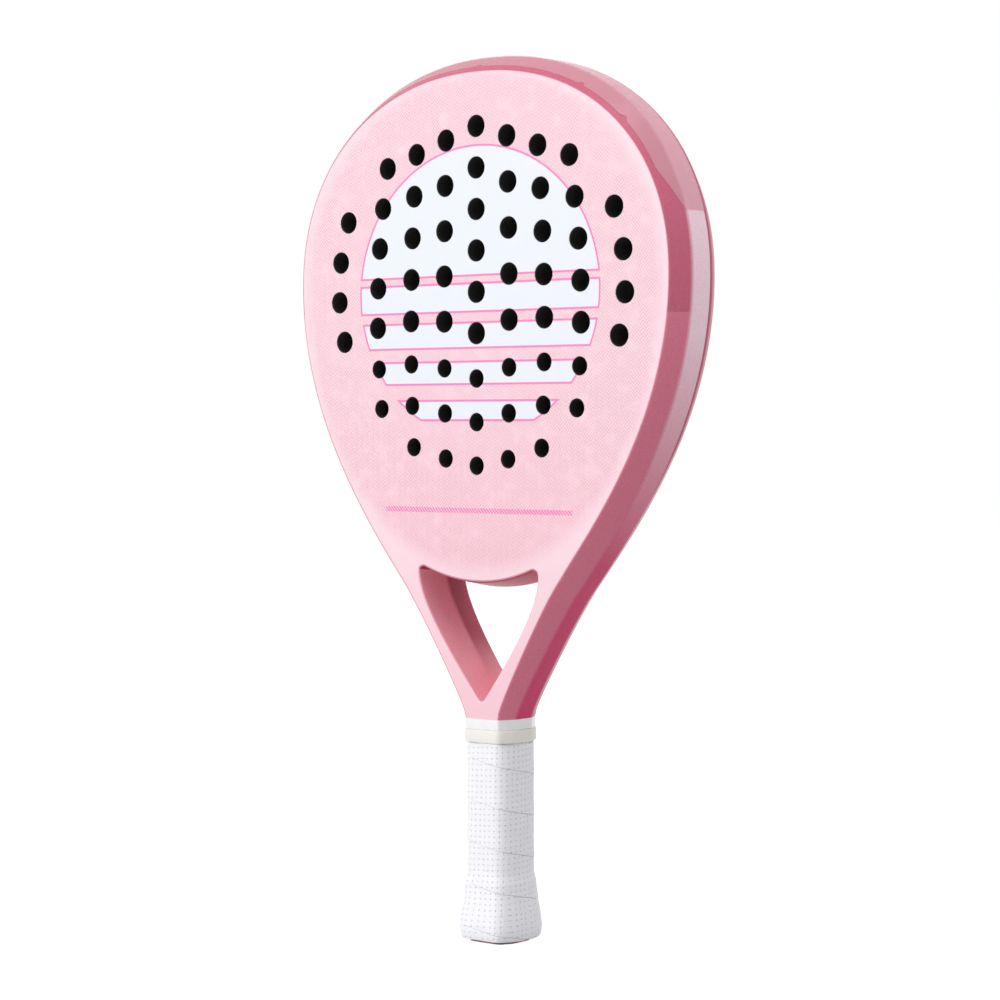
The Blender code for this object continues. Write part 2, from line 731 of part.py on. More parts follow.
def make_sleeve(surface):
    inner_step = SHOULDER_HEIGHT + SLEEVE_WALL
    profile = [
        (0, BAND_TOP, CORNER_TIGHT),
        (0, SHOULDER_HEIGHT, CORNER_TIGHT),
        (GRIP_RECESS, SHOULDER_HEIGHT, CORNER_TIGHT),
        (GRIP_RECESS, LEG_FOOT, CORNER_TIGHT),
        (GRIP_RECESS + SLEEVE_WALL, LEG_FOOT, CORNER_TIGHT),
        (GRIP_RECESS + SLEEVE_WALL, inner_step, CORNER_TIGHT),
        (SLEEVE_WALL, inner_step + SHOULDER_SLOPE, CORNER_TIGHT),
        (SLEEVE_WALL, BAND_TOP, CORNER_TIGHT),
    ]
    return ring_solid("handle_sleeve", profile, surface)


def cap_proud(height):
    """How far the butt cap stands out from the sleeve: a thin lip that flares to its widest and rounds under."""
    height = np.asarray(height, float)
    flare = CAP_LIP + (CAP_FLARE - CAP_LIP) * (1 - ease(height, CAP_WIDEST, CAP_HEIGHT))
    under = np.clip((CAP_WIDEST - height) / CAP_WIDEST, 0, 1)
    return flare - CAP_EDGE * (1 - np.sqrt(1 - CAP_EDGE_TURN * under**2))


def cap_heights():
    """Rows of the butt cap's outside, closer together where it rounds under."""
    flare = np.linspace(CAP_HEIGHT, CAP_WIDEST, FLARE_STEPS + 1)
    turn = np.linspace(0, math.pi / 2, CAP_EDGE_STEPS + 1)[1:]
    return np.concatenate([flare, CAP_WIDEST * (1 - np.sin(turn))])


def make_butt_cap(surface):
    socket = GRIP_RECESS - GLUE
    heights = cap_heights()
    rings = [
        lifted(handle_ring(socket - float(cap_proud(height)), CORNER_TIGHT), float(height)) for height in heights
    ]
    turn = np.arctan2(rings[0][:, 1], rings[0][:, 0])
    hole = np.stack([np.cos(turn), np.sin(turn)], axis=1) * CORD_HOLE / 2
    rings += [lifted(hole, 0), lifted(hole, CAP_FLOOR)]
    rings += [lifted(handle_ring(socket, CORNER_TIGHT), height) for height in (CAP_FLOOR, CAP_HEIGHT)]
    return add_object("butt_cap", *closed_loft(rings), surface)


def make_handle_foam(surface):
    """Foam plugs that fill both hollow legs under the grip."""
    heights = np.array([LEG_FOOT, SHOULDER_HEIGHT - FOAM_TOP_GAP])
    places = place_of_wall(heights)
    deep = np.full(2, SLEEVE_INSET + GRIP_RECESS)
    inner, front, side, ridge = hollow_section(places, deep)
    front, side = inset_corner(front, side, GLUE)
    rings = section_rings(places, inner - GLUE, front, side, ridge - GLUE)
    plugs = []
    for name, mirror in (("handle_foam_right", 1), ("handle_foam_left", -1)):
        points, faces = loft(rings * np.array([mirror, 1, 1]))
        plugs.append(add_object(name, points, faces, surface))
    return plugs


# Grip

def tape_inner_inset(height):
    """Inset of the tape's inner face: on the sleeve, and out over the butt cap below its lip."""
    over_cap = GRIP_RECESS - GLUE - cap_proud(height) - TAPE_OVER_CAP
    lifted_share = 1 - ease(height, CAP_HEIGHT + GLUE, CAP_HEIGHT + TAPE_RIDE)
    return TAPE_INSET + (over_cap - TAPE_INSET) * lifted_share


def tape_thickness(height):
    """Full up to the collar, then pared thin so that the collar fits over its end."""
    pared = ease(height, COLLAR_FOOT - GLUE - SKIVE_LENGTH, COLLAR_FOOT - GLUE)
    return TAPE_THICKNESS - (TAPE_THICKNESS - TAPE_SKIVED) * pared


def ring_points(inset, corner, corner_cut):
    """Corner points of handle rings, each with its own inset and corner cut, picked by number round the ring."""
    plain = handle_ring(0.0, 0.0)
    per_inset = (handle_ring(GRIP_RECESS, 0.0) - plain) / GRIP_RECESS
    per_cut = (handle_ring(0.0, CORNER_SOFT) - plain) / CORNER_SOFT
    inset = np.asarray(inset)[..., None]
    corner_cut = np.asarray(corner_cut)[..., None]
    return plain[corner] + per_inset[corner] * inset + per_cut[corner] * corner_cut


def tape_levels():
    """Heights where the tape's inner or outer face bends."""
    ride = np.linspace(CAP_HEIGHT + GLUE, CAP_HEIGHT + TAPE_RIDE, RIDE_STEPS + 1)
    cap = cap_heights()
    pared = [COLLAR_FOOT - GLUE - SKIVE_LENGTH, COLLAR_FOOT - GLUE]
    return np.concatenate([[TAPE_FOOT], np.sort(cap[cap > TAPE_FOOT]), ride, pared, [TAPE_TOP]])


def make_tape(surface):
    """A ribbon wound up the handle in one helix, cut level at both ends. It is mirrored, so that its seams fall
    to the right on the front."""
    ring = handle_ring(0.0, CORNER_SOFT)
    sides = len(ring)
    lengths = np.linalg.norm(np.roll(ring, -1, axis=0) - ring, axis=1)
    around = np.concatenate([[0], np.cumsum(lengths)[:-1]]) / lengths.sum()
    turns = (TAPE_TOP - TAPE_FOOT) / TAPE_PITCH + 1
    step = np.arange(int(turns * sides) + sides)
    turned = step // sides + around[step % sides]
    low = np.clip(TAPE_FOOT + TAPE_PITCH * (turned - 1) + TAPE_SEAM, TAPE_FOOT, None)
    high = np.clip(TAPE_FOOT + TAPE_PITCH * turned, None, TAPE_TOP)
    wide = high - low > TAPE_SEAM
    step, low, high = step[wide], low[wide], high[wide]
    height = np.clip(tape_levels(), low[:, None], high[:, None])
    corner = np.broadcast_to((step % sides)[:, None], height.shape)
    inset = tape_inner_inset(height)
    thick = tape_thickness(height)
    softness = (thick - TAPE_SKIVED) / (TAPE_THICKNESS - TAPE_SKIVED)
    outer_cut = CORNER_TIGHT + (CORNER_SOFT - CORNER_TIGHT) * softness
    inner = np.dstack([ring_points(inset, corner, np.full_like(height, CORNER_TIGHT)), height])
    outer = np.dstack([ring_points(inset - thick, corner, outer_cut), height])
    sections = np.concatenate([inner, outer[:, ::-1]], axis=1) * np.array([-1, 1, 1])
    return add_object("grip_tape", *loft(sections), surface)


def make_finishing_tape(surface):
    inner = TAPE_INSET - TAPE_SKIVED - GLUE
    outer = inner - FINISH_THICKNESS
    low = COLLAR_FOOT
    profile = [(inset, height, CORNER_TIGHT) for inset, height in
               ((outer, TAPE_TOP), (outer, low), (inner, low), (inner, TAPE_TOP))]
    return ring_solid("finishing_tape", profile, surface)


def make_collar(surface):
    """A rubber ring with rounded edges and a lip at the top that grips the sleeve."""
    over_tape = TAPE_INSET - TAPE_SKIVED - FINISH_THICKNESS - 2 * GLUE
    under_lip = TAPE_TOP + GLUE
    profile = [
        (-COLLAR_PROUD + COLLAR_EDGE, COLLAR_TOP, COLLAR_CORNER),
        (-COLLAR_PROUD, COLLAR_TOP - COLLAR_EDGE, COLLAR_CORNER),
        (-COLLAR_PROUD, COLLAR_FOOT + COLLAR_EDGE, COLLAR_CORNER),
        (-COLLAR_PROUD + COLLAR_EDGE, COLLAR_FOOT, COLLAR_CORNER),
        (over_tape, COLLAR_FOOT, CORNER_TIGHT),
        (over_tape, under_lip, CORNER_TIGHT),
        (GRIP_RECESS - GLUE, under_lip, CORNER_TIGHT),
        (GRIP_RECESS - GLUE, COLLAR_TOP, CORNER_TIGHT),
    ]
    return ring_solid("grip_collar", profile, surface)


# Tacks

def tack_rings(side, swell):
    """A flat-headed tack that points at the handle's middle, swollen by a clearance for its hole."""
    face = HALF_HANDLE - (GRIP_RECESS - GLUE - float(cap_proud(TACK_HEIGHT))) + swell
    neck = face - TACK_HEAD_DEPTH - 2 * swell
    point = face - TACK_LENGTH - 2 * swell
    taper = neck + (point - neck) * TACK_STRAIGHT
    head = TACK_HEAD / 2 + swell
    shank = TACK_SHANK / 2 + swell
    tip = TACK_POINT / 2 + swell
    profile = ((head, face), (head, neck), (shank, neck), (shank, taper), (tip, point))
    turn = np.linspace(0, 2 * math.pi, TACK_SIDES, endpoint=False)
    return [
        np.stack([np.full(TACK_SIDES, side * along), radius * np.cos(turn), TACK_HEIGHT + radius * np.sin(turn)],
                 axis=1)
        for radius, along in profile
    ]


def make_tacks(surface, drilled):
    """Both tacks, and their holes in the cap, the sleeve, the tube and the foam."""
    for name, side in (("butt_cap_tack_right", 1), ("butt_cap_tack_left", -1)):
        add_object(name, *loft(tack_rings(side, 0.0)), surface)
        cutter = add_object(name + "_hole_cutter", *loft(tack_rings(side, GLUE)), surface)
        for thing in drilled:
            if not thing.name.startswith("handle_foam") or thing.name.endswith(name.split("_")[-1]):
                cut(thing, cutter)


# Head protector

def film_reach(place, slant):
    """How far the film runs down each chamfer, from almost nothing at its ends up to full width."""
    height = outline_points(place)[:, 1]
    end = LENGTH - FILM_END_DROP
    full = slant * FILM_CHAMFER_SHARE
    return FILM_TIP + (full - FILM_TIP) * np.sqrt(np.clip((height - end) / FILM_TAPER, 0, 1))


def make_head_protector(surface):
    places = np.linspace(0, 1, FINE_STEPS)
    heights = outline_points(places)[:, 1]
    last = float(np.interp(FILM_END_DROP - LENGTH, -heights, places))
    start_taper = float(np.interp(FILM_END_DROP - FILM_TAPER - LENGTH, -heights, places))
    shared = np.linspace(0, 1, TOP_STEPS + 1)
    shared = shared[shared < last - STATION_ROOM]
    taper = np.linspace(start_taper, last, FILM_END_STEPS)
    taper = taper[np.abs(taper[:, None] - shared).min(axis=1) > STATION_ROOM]
    places = np.sort(np.concatenate([shared, taper]))
    wall = offset(places, TUBE_WIDTH)[:, 1]
    half = THICKNESS / 2
    flat = flat_at(wall) / 2
    chamfer = chamfer_at(places)
    depth = half - flat
    slant = np.hypot(chamfer, depth)
    share = film_reach(places, slant) / slant

    def layer(lift):
        """The film's edge on a chamfer and its fold at the flat's edge, at a lift above the rim."""
        across = share * chamfer - lift * depth / slant
        deep = flat + share * depth + lift * chamfer / slant
        fold = flat + lift * (slant - depth) / chamfer
        return across, deep, np.full_like(across, -lift), fold

    columns = []
    for lift, order in ((GLUE, 1), (GLUE + FILM, -1)):
        across, deep, flat_across, fold = layer(lift)
        points = [(across, deep), (flat_across, fold), (flat_across, -fold), (across, -deep)]
        columns += points[::order]
    base = outline_points(places)
    normal = inward(places)
    rings = np.stack([
        np.stack([base[:, 0] + normal[:, 0] * across, deep, base[:, 1] + normal[:, 1] * across], axis=1)
        for across, deep in columns
    ], axis=1)
    return add_object("head_protector", *loft(both_sides(rings)), surface)


def build():
    clear_scene()
    paint = material("painted_composite", (0.62, 0.12, 0.22), 0.3)
    face = material("printed_face", (0.95, 0.68, 0.76), 0.45)
    rear = material("printed_rear_face", (0.95, 0.68, 0.76), 0.45)
    black_foam = material("eva_foam", (0.02, 0.02, 0.022), 0.9)
    pale_foam = material("rigid_foam", (0.75, 0.70, 0.55), 0.9)
    white_paint = material("white_painted_sleeve", (0.88, 0.88, 0.87), 0.35)
    tape = material("white_grip_tape", (0.90, 0.90, 0.89), 0.6)
    ivory = material("ivory_rubber", (0.86, 0.83, 0.74), 0.55)
    cap = material("moulded_cap", (0.42, 0.07, 0.13), 0.4)
    steel = material("tack_steel", (0.6, 0.6, 0.6), 0.3, 1.0)
    film = material("clear_film", (0.85, 0.60, 0.68), 0.1)
    adhesive = material("finishing_tape", (0.80, 0.80, 0.80), 0.5)

    frame_tube = make_frame_tube(paint)
    make_head(black_foam, face, rear)
    make_bridge(paint, pale_foam)
    make_spine(paint)
    sleeve = make_sleeve(white_paint)
    butt_cap = make_butt_cap(cap)
    plugs = make_handle_foam(pale_foam)
    make_tacks(steel, [butt_cap, sleeve, frame_tube, *plugs])
    make_tape(tape)
    make_finishing_tape(adhesive)
    make_collar(ivory)
    make_head_protector(film)


build()
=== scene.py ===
# %% [markdown]
# # A padel racket, dressed over its CAD model
# The CAD model is loaded as a fixed frame. It knows every size and place, but its curves are coarse and its
# edges are sharp. This lesson makes the surfaces that show once more, with soft edges and smooth curves, and
# gives each one the finish of the real material. Bevel and subdivision modifiers could soften the CAD pieces
# instead, but they work on the coarse facets and pull edges out of place. Sizes that the frame can tell are
# read from it.

import math

import bmesh
import bpy
import numpy as np
from mathutils import Matrix, Vector
from mathutils.geometry import delaunay_2d_cdt


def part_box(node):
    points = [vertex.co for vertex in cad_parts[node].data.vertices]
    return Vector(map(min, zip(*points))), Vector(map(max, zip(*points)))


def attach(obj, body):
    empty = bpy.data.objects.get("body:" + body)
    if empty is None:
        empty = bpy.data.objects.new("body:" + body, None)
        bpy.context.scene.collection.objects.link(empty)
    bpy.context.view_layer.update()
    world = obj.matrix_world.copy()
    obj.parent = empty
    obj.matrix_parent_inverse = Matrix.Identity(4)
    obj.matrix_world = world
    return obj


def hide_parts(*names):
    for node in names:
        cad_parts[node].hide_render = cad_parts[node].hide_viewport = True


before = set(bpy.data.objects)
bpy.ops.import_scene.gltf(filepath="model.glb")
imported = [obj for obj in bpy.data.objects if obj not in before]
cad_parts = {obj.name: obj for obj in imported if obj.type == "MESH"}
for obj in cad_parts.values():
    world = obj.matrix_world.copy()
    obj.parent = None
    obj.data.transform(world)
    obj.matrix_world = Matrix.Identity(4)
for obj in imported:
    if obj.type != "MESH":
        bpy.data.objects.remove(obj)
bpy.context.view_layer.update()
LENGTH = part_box("frame_tube")[1][2]
HALF_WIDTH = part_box("frame_tube")[1][0]
HALF_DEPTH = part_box("rear_face_skin")[1][1]
SKIN = HALF_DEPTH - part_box("rear_face_skin")[0][1]
GLUE = 0.0003
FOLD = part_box("bridge_shell")[1][2] + GLUE
HALF_HANDLE, HALF_HANDLE_DEPTH, BAND_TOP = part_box("handle_sleeve")[1]

# %% [markdown]
# ## Camera and studio
# The picture was taken from the racket's right, almost level, with a long lens. A camera could be placed by
# eye, but every comparison would then carry that error, so the place and direction below come from fitting
# the outline and the hole grid. The studio is one wide soft key from the front left, a box overhead, a weak
# strip on the right for the rim, a fill for the rear face, and an even grey surround. Only the camera,
# mirrors and glass see the surround as white, so the object is lit at a plain level and its shadow still
# falls on the floor.

# %% Camera
CAMERA_PLACE = (0.91348, -1.10675, 0.26912)
CAMERA_FORWARD = (-0.63635, 0.77087, -0.02860)
CAMERA_UP = (-0.01674, 0.02327, 0.99958)
LENS_MM = 100

scene = bpy.context.scene
scene.view_settings.view_transform = "Standard"
camera_data = bpy.data.cameras.new("camera")
camera_data.lens = LENS_MM
camera = bpy.data.objects.new("camera", camera_data)
scene.collection.objects.link(camera)
forward = Vector(CAMERA_FORWARD).normalized()
right = forward.cross(Vector(CAMERA_UP)).normalized()
turn = Matrix((right, right.cross(forward), -forward)).transposed().to_4x4()
camera.matrix_world = Matrix.Translation(CAMERA_PLACE) @ turn
scene.camera = camera
print("camera looks along", tuple(round(part, 3) for part in forward))


# %% Colours and nodes
def to_linear(hex_colour):
    """An sRGB hex colour as the linear numbers that a socket takes, by the sRGB curve."""
    channels = np.array([int(hex_colour[start:start + 2], 16) for start in (1, 3, 5)]) / 255
    linear = np.where(channels <= 0.04045, channels / 12.92, ((channels + 0.055) / 1.055) ** 2.4)
    return (*linear.tolist(), 1.0)


def add(tree, kind, *values, **named):
    """Adds one node and gives back its first output in use. A word after the kind is its operation. Values
    fill the inputs in use, in order. A named value sets the node's property of that name, or else fills the
    input of that name, with _ for a space. A socket is linked, a hex colour is turned to linear, and the rest
    is stored."""
    kind, _, operation = kind.partition(" ")
    node = tree.nodes.new("ShaderNode" + kind)
    if operation:
        node.operation = operation
    for name in [name for name in named if hasattr(node, name)]:
        setattr(node, name, named.pop(name))
    in_use = [socket for socket in node.inputs if socket.enabled]
    by_name = [node.inputs[name.replace("_", " ")] for name in named]
    for socket, value in [*zip(in_use, values), *zip(by_name, named.values())]:
        if isinstance(value, bpy.types.NodeSocket):
            tree.links.new(value, socket)
        else:
            socket.default_value = to_linear(value) if isinstance(value, str) else value
    return next((socket for socket in node.outputs if socket.enabled), None)


def new_finish(name, colour, roughness, **sockets):
    """A material with one Principled shader. Further sockets are named with _ for a space."""
    finish = bpy.data.materials.new(name)
    finish.use_nodes = True
    shader = finish.node_tree.nodes["Principled BSDF"]
    shader.inputs["Base Color"].default_value = to_linear(colour)
    shader.inputs["Roughness"].default_value = roughness
    for socket, value in sockets.items():
        shader.inputs[socket.replace("_", " ")].default_value = value
    return finish, finish.node_tree, shader


print("a grey of half code value is", round(to_linear("#808080")[0], 3), "in linear light")

# %% Floor
FLOOR_HALF = 4.0
FLOOR_GLOW = 0.96
FLOOR_SHADE = 0.20
WHITE = "#FFFFFF"


def backdrop(tree, lit, seen):
    """Mixes two shaders: one for light that falls on the object, and one for what the camera, mirrors and
    glass see."""
    path = add(tree, "LightPath").node
    camera_ray, glass_ray, mirror_ray = (
        path.outputs[f"Is {ray} Ray"] for ray in ("Camera", "Transmission", "Glossy")
    )
    direct = add(tree, "Math MAXIMUM", camera_ray, add(tree, "Math MAXIMUM", glass_ray, mirror_ray))
    return add(tree, "MixShader", direct, lit, seen)


floor_mesh = bpy.data.meshes.new("floor")
floor_mesh.from_pydata([(x * FLOOR_HALF, y * FLOOR_HALF, 0) for x, y in ((-1, -1), (1, -1), (1, 1), (-1, 1))],
                       [], [(0, 1, 2, 3)])
floor = bpy.data.objects.new("floor", floor_mesh)
scene.collection.objects.link(floor)
# White studio paper: it bounces light like paper, and looks like the white surround with a faint shadow.
paper, paper_tree, paper_shader = new_finish("studio_paper", "#C4C4C4", roughness=0.9)
glow = add(paper_tree, "Emission", Color=WHITE, Strength=FLOOR_GLOW)
shade = add(paper_tree, "BsdfDiffuse", Color=(FLOOR_SHADE, FLOOR_SHADE, FLOOR_SHADE, 1))
looks = add(paper_tree, "AddShader", glow, shade)
paper_output = paper_tree.nodes["Material Output"]
paper_tree.links.new(backdrop(paper_tree, paper_shader.outputs[0], looks), paper_output.inputs["Surface"])
floor_mesh.materials.append(paper)
print("floor of", 2 * FLOOR_HALF, "m")

# %% Surround and lamps
SURROUND = 0.35
# Place and size in metres and power in watts of each lamp
LAMPS = {
    "key": ((-0.85, -2.05, 0.85), 1.3, 31.5),
    "rim_strip": ((0.7, 0.3, 0.8), 0.6, 2.2),
    "top": ((0.35, -0.35, 1.7), 0.8, 6.0),
    "back_fill": ((-1.1, 1.9, 1.2), 1.3, 27.0),
}
TARGET = Vector((0.0, 0.0, 0.26))


def softbox(name, place, size, watts):
    """A square area lamp that looks at the racket."""
    lamp = bpy.data.lights.new(name, "AREA")
    lamp.energy = watts
    lamp.size = size
    holder = bpy.data.objects.new(name, lamp)
    scene.collection.objects.link(holder)
    aim = (TARGET - Vector(place)).to_track_quat("-Z", "Y")
    holder.matrix_world = Matrix.Translation(place) @ aim.to_matrix().to_4x4()
    return holder


world = bpy.data.worlds.new("surround")
scene.world = world
world.use_nodes = True
world_tree = world.node_tree
world_tree.nodes.clear()
lit = add(world_tree, "Background", Color=WHITE, Strength=SURROUND)
seen = add(world_tree, "Background", Color=WHITE, Strength=1.0)
add(world_tree, "OutputWorld", Surface=backdrop(world_tree, lit, seen))
lamps = {name: softbox(name, *setting) for name, setting in LAMPS.items()}
# The fill only brightens the rear, so the gloss on the rim does not mirror it
lamps["back_fill"].visible_glossy = False
print("studio with", len(lamps), "lamps")

# %% [markdown]
# ## The outline
# Everything on the head follows one outline: a squarish half-ellipse over the top, then one sweep in to the
# waist and one down to the handle. A curve object could hold the same line. A function of a single number,
# called place, was chosen because it can be sampled as finely as each piece needs, and moved inwards along
# its normals for the chamfers and the throat.

# %% Outline of the racket
HEAD_RISE = 0.115
HEAD_SQUARENESS = 2.15
SHOULDER_PULL = 0.072
WAIST = np.array([0.055, 0.1805])
WAIST_ANGLE = math.radians(38.7)
WAIST_PULL_UP = 0.0427
WAIST_PULL_DOWN = 0.0166
NECK_PULL = 0.005
WIDEST = LENGTH - HEAD_RISE
FINE_STEPS = 4001


def bezier(start, first, second, end, share):
    """A cubic curve: the four points weighted by the terms of (rest + share) cubed."""
    share = share[:, None]
    rest = 1 - share
    return rest**3 * start + 3 * share * rest**2 * first + 3 * share**2 * rest * second + share**3 * end


def outline(place):
    """Right half of the outline in XZ: |x/a|^n + |z/b|^n = 1 from place 0 at the top to 1 at the widest
    point, then one cubic to the waist at 2 and one to the handle at 3."""
    place = np.asarray(place, float)
    angle = np.clip(place, -1, 1) * math.pi / 2
    power = 2 / HEAD_SQUARENESS
    x = HALF_WIDTH * np.sign(np.sin(angle)) * np.abs(np.sin(angle)) ** power
    z = WIDEST + HEAD_RISE * np.abs(np.cos(angle)) ** power
    points = np.stack([x, z], axis=1)
    lean = np.array([math.sin(WAIST_ANGLE), math.cos(WAIST_ANGLE)])
    down = np.array([0, -1.0])
    widest = np.array([HALF_WIDTH, WIDEST])
    neck = np.array([HALF_HANDLE, BAND_TOP])
    shoulder = place > 1
    points[shoulder] = bezier(widest, widest + SHOULDER_PULL * down, WAIST + WAIST_PULL_UP * lean, WAIST,
                              place[shoulder] - 1)
    arm = place > 2
    points[arm] = bezier(WAIST, WAIST - WAIST_PULL_DOWN * lean, neck - NECK_PULL * down, neck, place[arm] - 2)
    return points


def inward(place):
    """Unit normals into the racket: the direction along the outline, turned a quarter."""
    step = 1e-4
    along = outline(np.minimum(place + step, 3)) - outline(place - step)
    along /= np.linalg.norm(along, axis=1)[:, None]
    return np.stack([along[:, 1], -along[:, 0]], axis=1)


def offset(place, distance):
    """The outline moved along its normals."""
    return outline(place) + inward(place) * np.reshape(distance, (-1, 1))


def even_places(first, last, step):
    """Places about one step of length apart: the running length of the outline, turned round."""
    fine = np.linspace(first, last, FINE_STEPS)
    run = np.append(0, np.cumsum(np.linalg.norm(np.diff(outline(fine), axis=0), axis=1)))
    count = int(round(run[-1] / step)) + 1
    return np.interp(np.linspace(0, run[-1], count), run, fine)


print("outline at the waist:", np.round(1000 * outline(np.array([2.0]))[0], 1), "mm")

# %% [markdown]
# ## Section of the rim
# The frame is a hollow composite tube. Its section has a flat side between two chamfers, and its depth tapers
# from the head to the handle. A sharp edge would catch no light, so each corner is rounded by a short curve
# that leaves one edge and joins the next. A bevel modifier could round them too, but the curve keeps the
# points in rows, so every point's facet is known when the paint is stored. Working on all stations at once
# keeps this free of loops.

# %% Depth, chamfers and rounded corners
FOLD_SOFTNESS = 0.009
CHAMFER_SIDE = 0.0062
CHAMFER_TOP = 0.0076
CHAMFER_HANDLE = 0.0046
FLAT_HEAD = 0.0165
FLAT_ARM = 0.0128
FLAT_BLEND = (0.215, 0.265)
FACE_EDGE = 0.0010
SIDE_EDGE = 0.0013
ROUND_STEPS = 6


def ease(value, low, high):
    """A smooth step: 3t^2 - 2t^3 between low and high."""
    share = np.clip((value - low) / (high - low), 0, 1)
    return share * share * (3 - 2 * share)


def half_depth(height):
    """Half the thickness: level in the head, straight taper in the arms, and a parabola round the fold."""
    slope = (HALF_DEPTH - HALF_HANDLE_DEPTH) / (FOLD - BAND_TOP)
    below = FOLD - np.asarray(height, float)
    bent = (np.clip(below, -FOLD_SOFTNESS, FOLD_SOFTNESS) + FOLD_SOFTNESS) ** 2 / (4 * FOLD_SOFTNESS)
    return HALF_DEPTH - slope * np.where(below > FOLD_SOFTNESS, below, bent)


def chamfer_width(place):
    """Width of a chamfer from the front: narrow at the handle, wider over the top by the normal's upward
    part."""
    upward = np.clip(-inward(place)[:, 1], 0, 1)
    arm = CHAMFER_HANDLE + (CHAMFER_SIDE - CHAMFER_HANDLE) * ease(outline(place)[:, 1], BAND_TOP, FOLD)
    return arm + (CHAMFER_TOP - CHAMFER_SIDE) * upward**2


def flat_half(place):
    """Half the depth of the flat side, which is deeper in the head than in the arms."""
    return (FLAT_ARM + (FLAT_HEAD - FLAT_ARM) * ease(outline(place)[:, 1], *FLAT_BLEND)) / 2


def pair(across, deep):
    """Two columns of numbers as points of a section, at every station."""
    return np.stack(np.broadcast_arrays(across, deep), axis=-1).astype(float)


def rounded(before, corner, after, reach):
    """A corner rounded at every station: a quadratic curve with the corner as its middle control point."""
    back = before - corner
    ahead = after - corner
    back_length = np.linalg.norm(back, axis=-1, keepdims=True)
    ahead_length = np.linalg.norm(ahead, axis=-1, keepdims=True)
    start = corner + back * np.minimum(reach / back_length, 1)
    end = corner + ahead * np.minimum(reach / ahead_length, 1)
    share = np.linspace(0, 1, ROUND_STEPS)[:, None]
    rest = 1 - share
    return rest**2 * start[:, None] + 2 * share * rest * corner[:, None] + share**2 * end[:, None]


print("depth in mm at the head and the handle:", np.round(2000 * half_depth([LENGTH, BAND_TOP]), 1).tolist())


# %% From sections to a piece
def carried(base, normal, section):
    """Sections of (across, deep) set up along a path in XZ: across follows the path's normal, and deep runs
    to -Y."""
    flat = base[:, None] + normal[:, None] * section[..., :1]
    return np.stack([flat[..., 0], -section[..., 1], flat[..., 1]], axis=-1)


def both_sides(sections):
    """Stations up the right side and down the left: a mirrored copy that shares the top station."""
    return np.concatenate([sections[::-1], sections[1:] * np.array([-1, 1, 1])])


def grid_faces(rows, columns, first=0, close_rows=False):
    """Quads of a grid whose columns run round in a ring, and whose rows may too."""
    row = np.arange(rows if close_rows else rows - 1)[:, None]
    column = np.arange(columns)[None, :]
    next_row = (row + 1) % rows * columns
    next_column = (column + 1) % columns
    row = row * columns
    quads = np.stack([row + column, row + next_column, next_row + next_column, next_row + column], axis=-1)
    return (quads.reshape(-1, 4) + first).tolist()


def end_faces(rows, columns, first=0):
    """The two faces that close an open sweep."""
    last = first + (rows - 1) * columns
    return [list(range(first, first + columns)), list(range(last, last + columns))]


def make_piece(name, points, faces, finish, replaced, values=None, crease=40):
    """Puts points and faces into a mesh with outward normals and soft shading, stores values at the points,
    and ties the piece to the frame."""
    mesh = bpy.data.meshes.new(name)
    mesh.from_pydata(points.reshape(-1, 3).tolist(), [], faces)
    for label, numbers in (values or {}).items():
        kind = "FLOAT" if numbers.ndim == 1 else "FLOAT_VECTOR"
        stored = mesh.attributes.new(label, kind, "POINT").data
        stored.foreach_set("value" if kind == "FLOAT" else "vector", numbers.astype(np.float32).ravel())
    work = bmesh.new()
    work.from_mesh(mesh)
    bmesh.ops.recalc_face_normals(work, faces=work.faces)
    work.to_mesh(mesh)
    work.free()
    mesh.shade_smooth()
    mesh.set_sharp_from_angle(angle=math.radians(crease))
    mesh.materials.append(finish)
    piece = bpy.data.objects.new(name, mesh)
    scene.collection.objects.link(piece)
    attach(piece, "root")
    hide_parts(*replaced)
    print(name, "has", len(mesh.vertices), "points and", len(mesh.polygons), "faces")
    return piece


print("a band of two rings of eight points has", len(grid_faces(2, 8)), "faces")

# %% [markdown]
# ## The throat
# Below the head the frame opens in a triangular throat. Its edge is one closed loop: a small round at the
# foot, two walls that leave it at the lean of the arms and end upright, and the bridge that bulges down
# between two tight corners. A Boolean cut could open it, but one loop can serve the walls and both faces, so
# that they fit each other. It is joined from those stretches and spaced evenly.

# %% Loop of the throat
SPINE_ABOVE_FOOT = 0.0108
THROAT_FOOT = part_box("handle_spine")[1][2] - SPINE_ABOVE_FOOT
FOOT_RADIUS = 0.002
WALL_SPREAD = 0.0395
WALL_PULL_LOW = 0.034
WALL_PULL_HIGH = 0.014
BRIDGE_DROP = 0.0137
BRIDGE_FOOT = FOLD - BRIDGE_DROP
BRIDGE_RADIUS = 0.095
BRIDGE_CORNER = 0.003
FOOT_STEPS, WALL_STEPS, CORNER_STEPS, BRIDGE_STEPS = 20, 80, 30, 40
LOOP_POINTS = 480


def arc(middle, radius, first, last, steps):
    """Points on a circle in XZ: middle + radius (cos, sin) from one angle to another."""
    angle = np.linspace(first, last, steps)
    return middle + radius * np.stack([np.cos(angle), np.sin(angle)], axis=1)


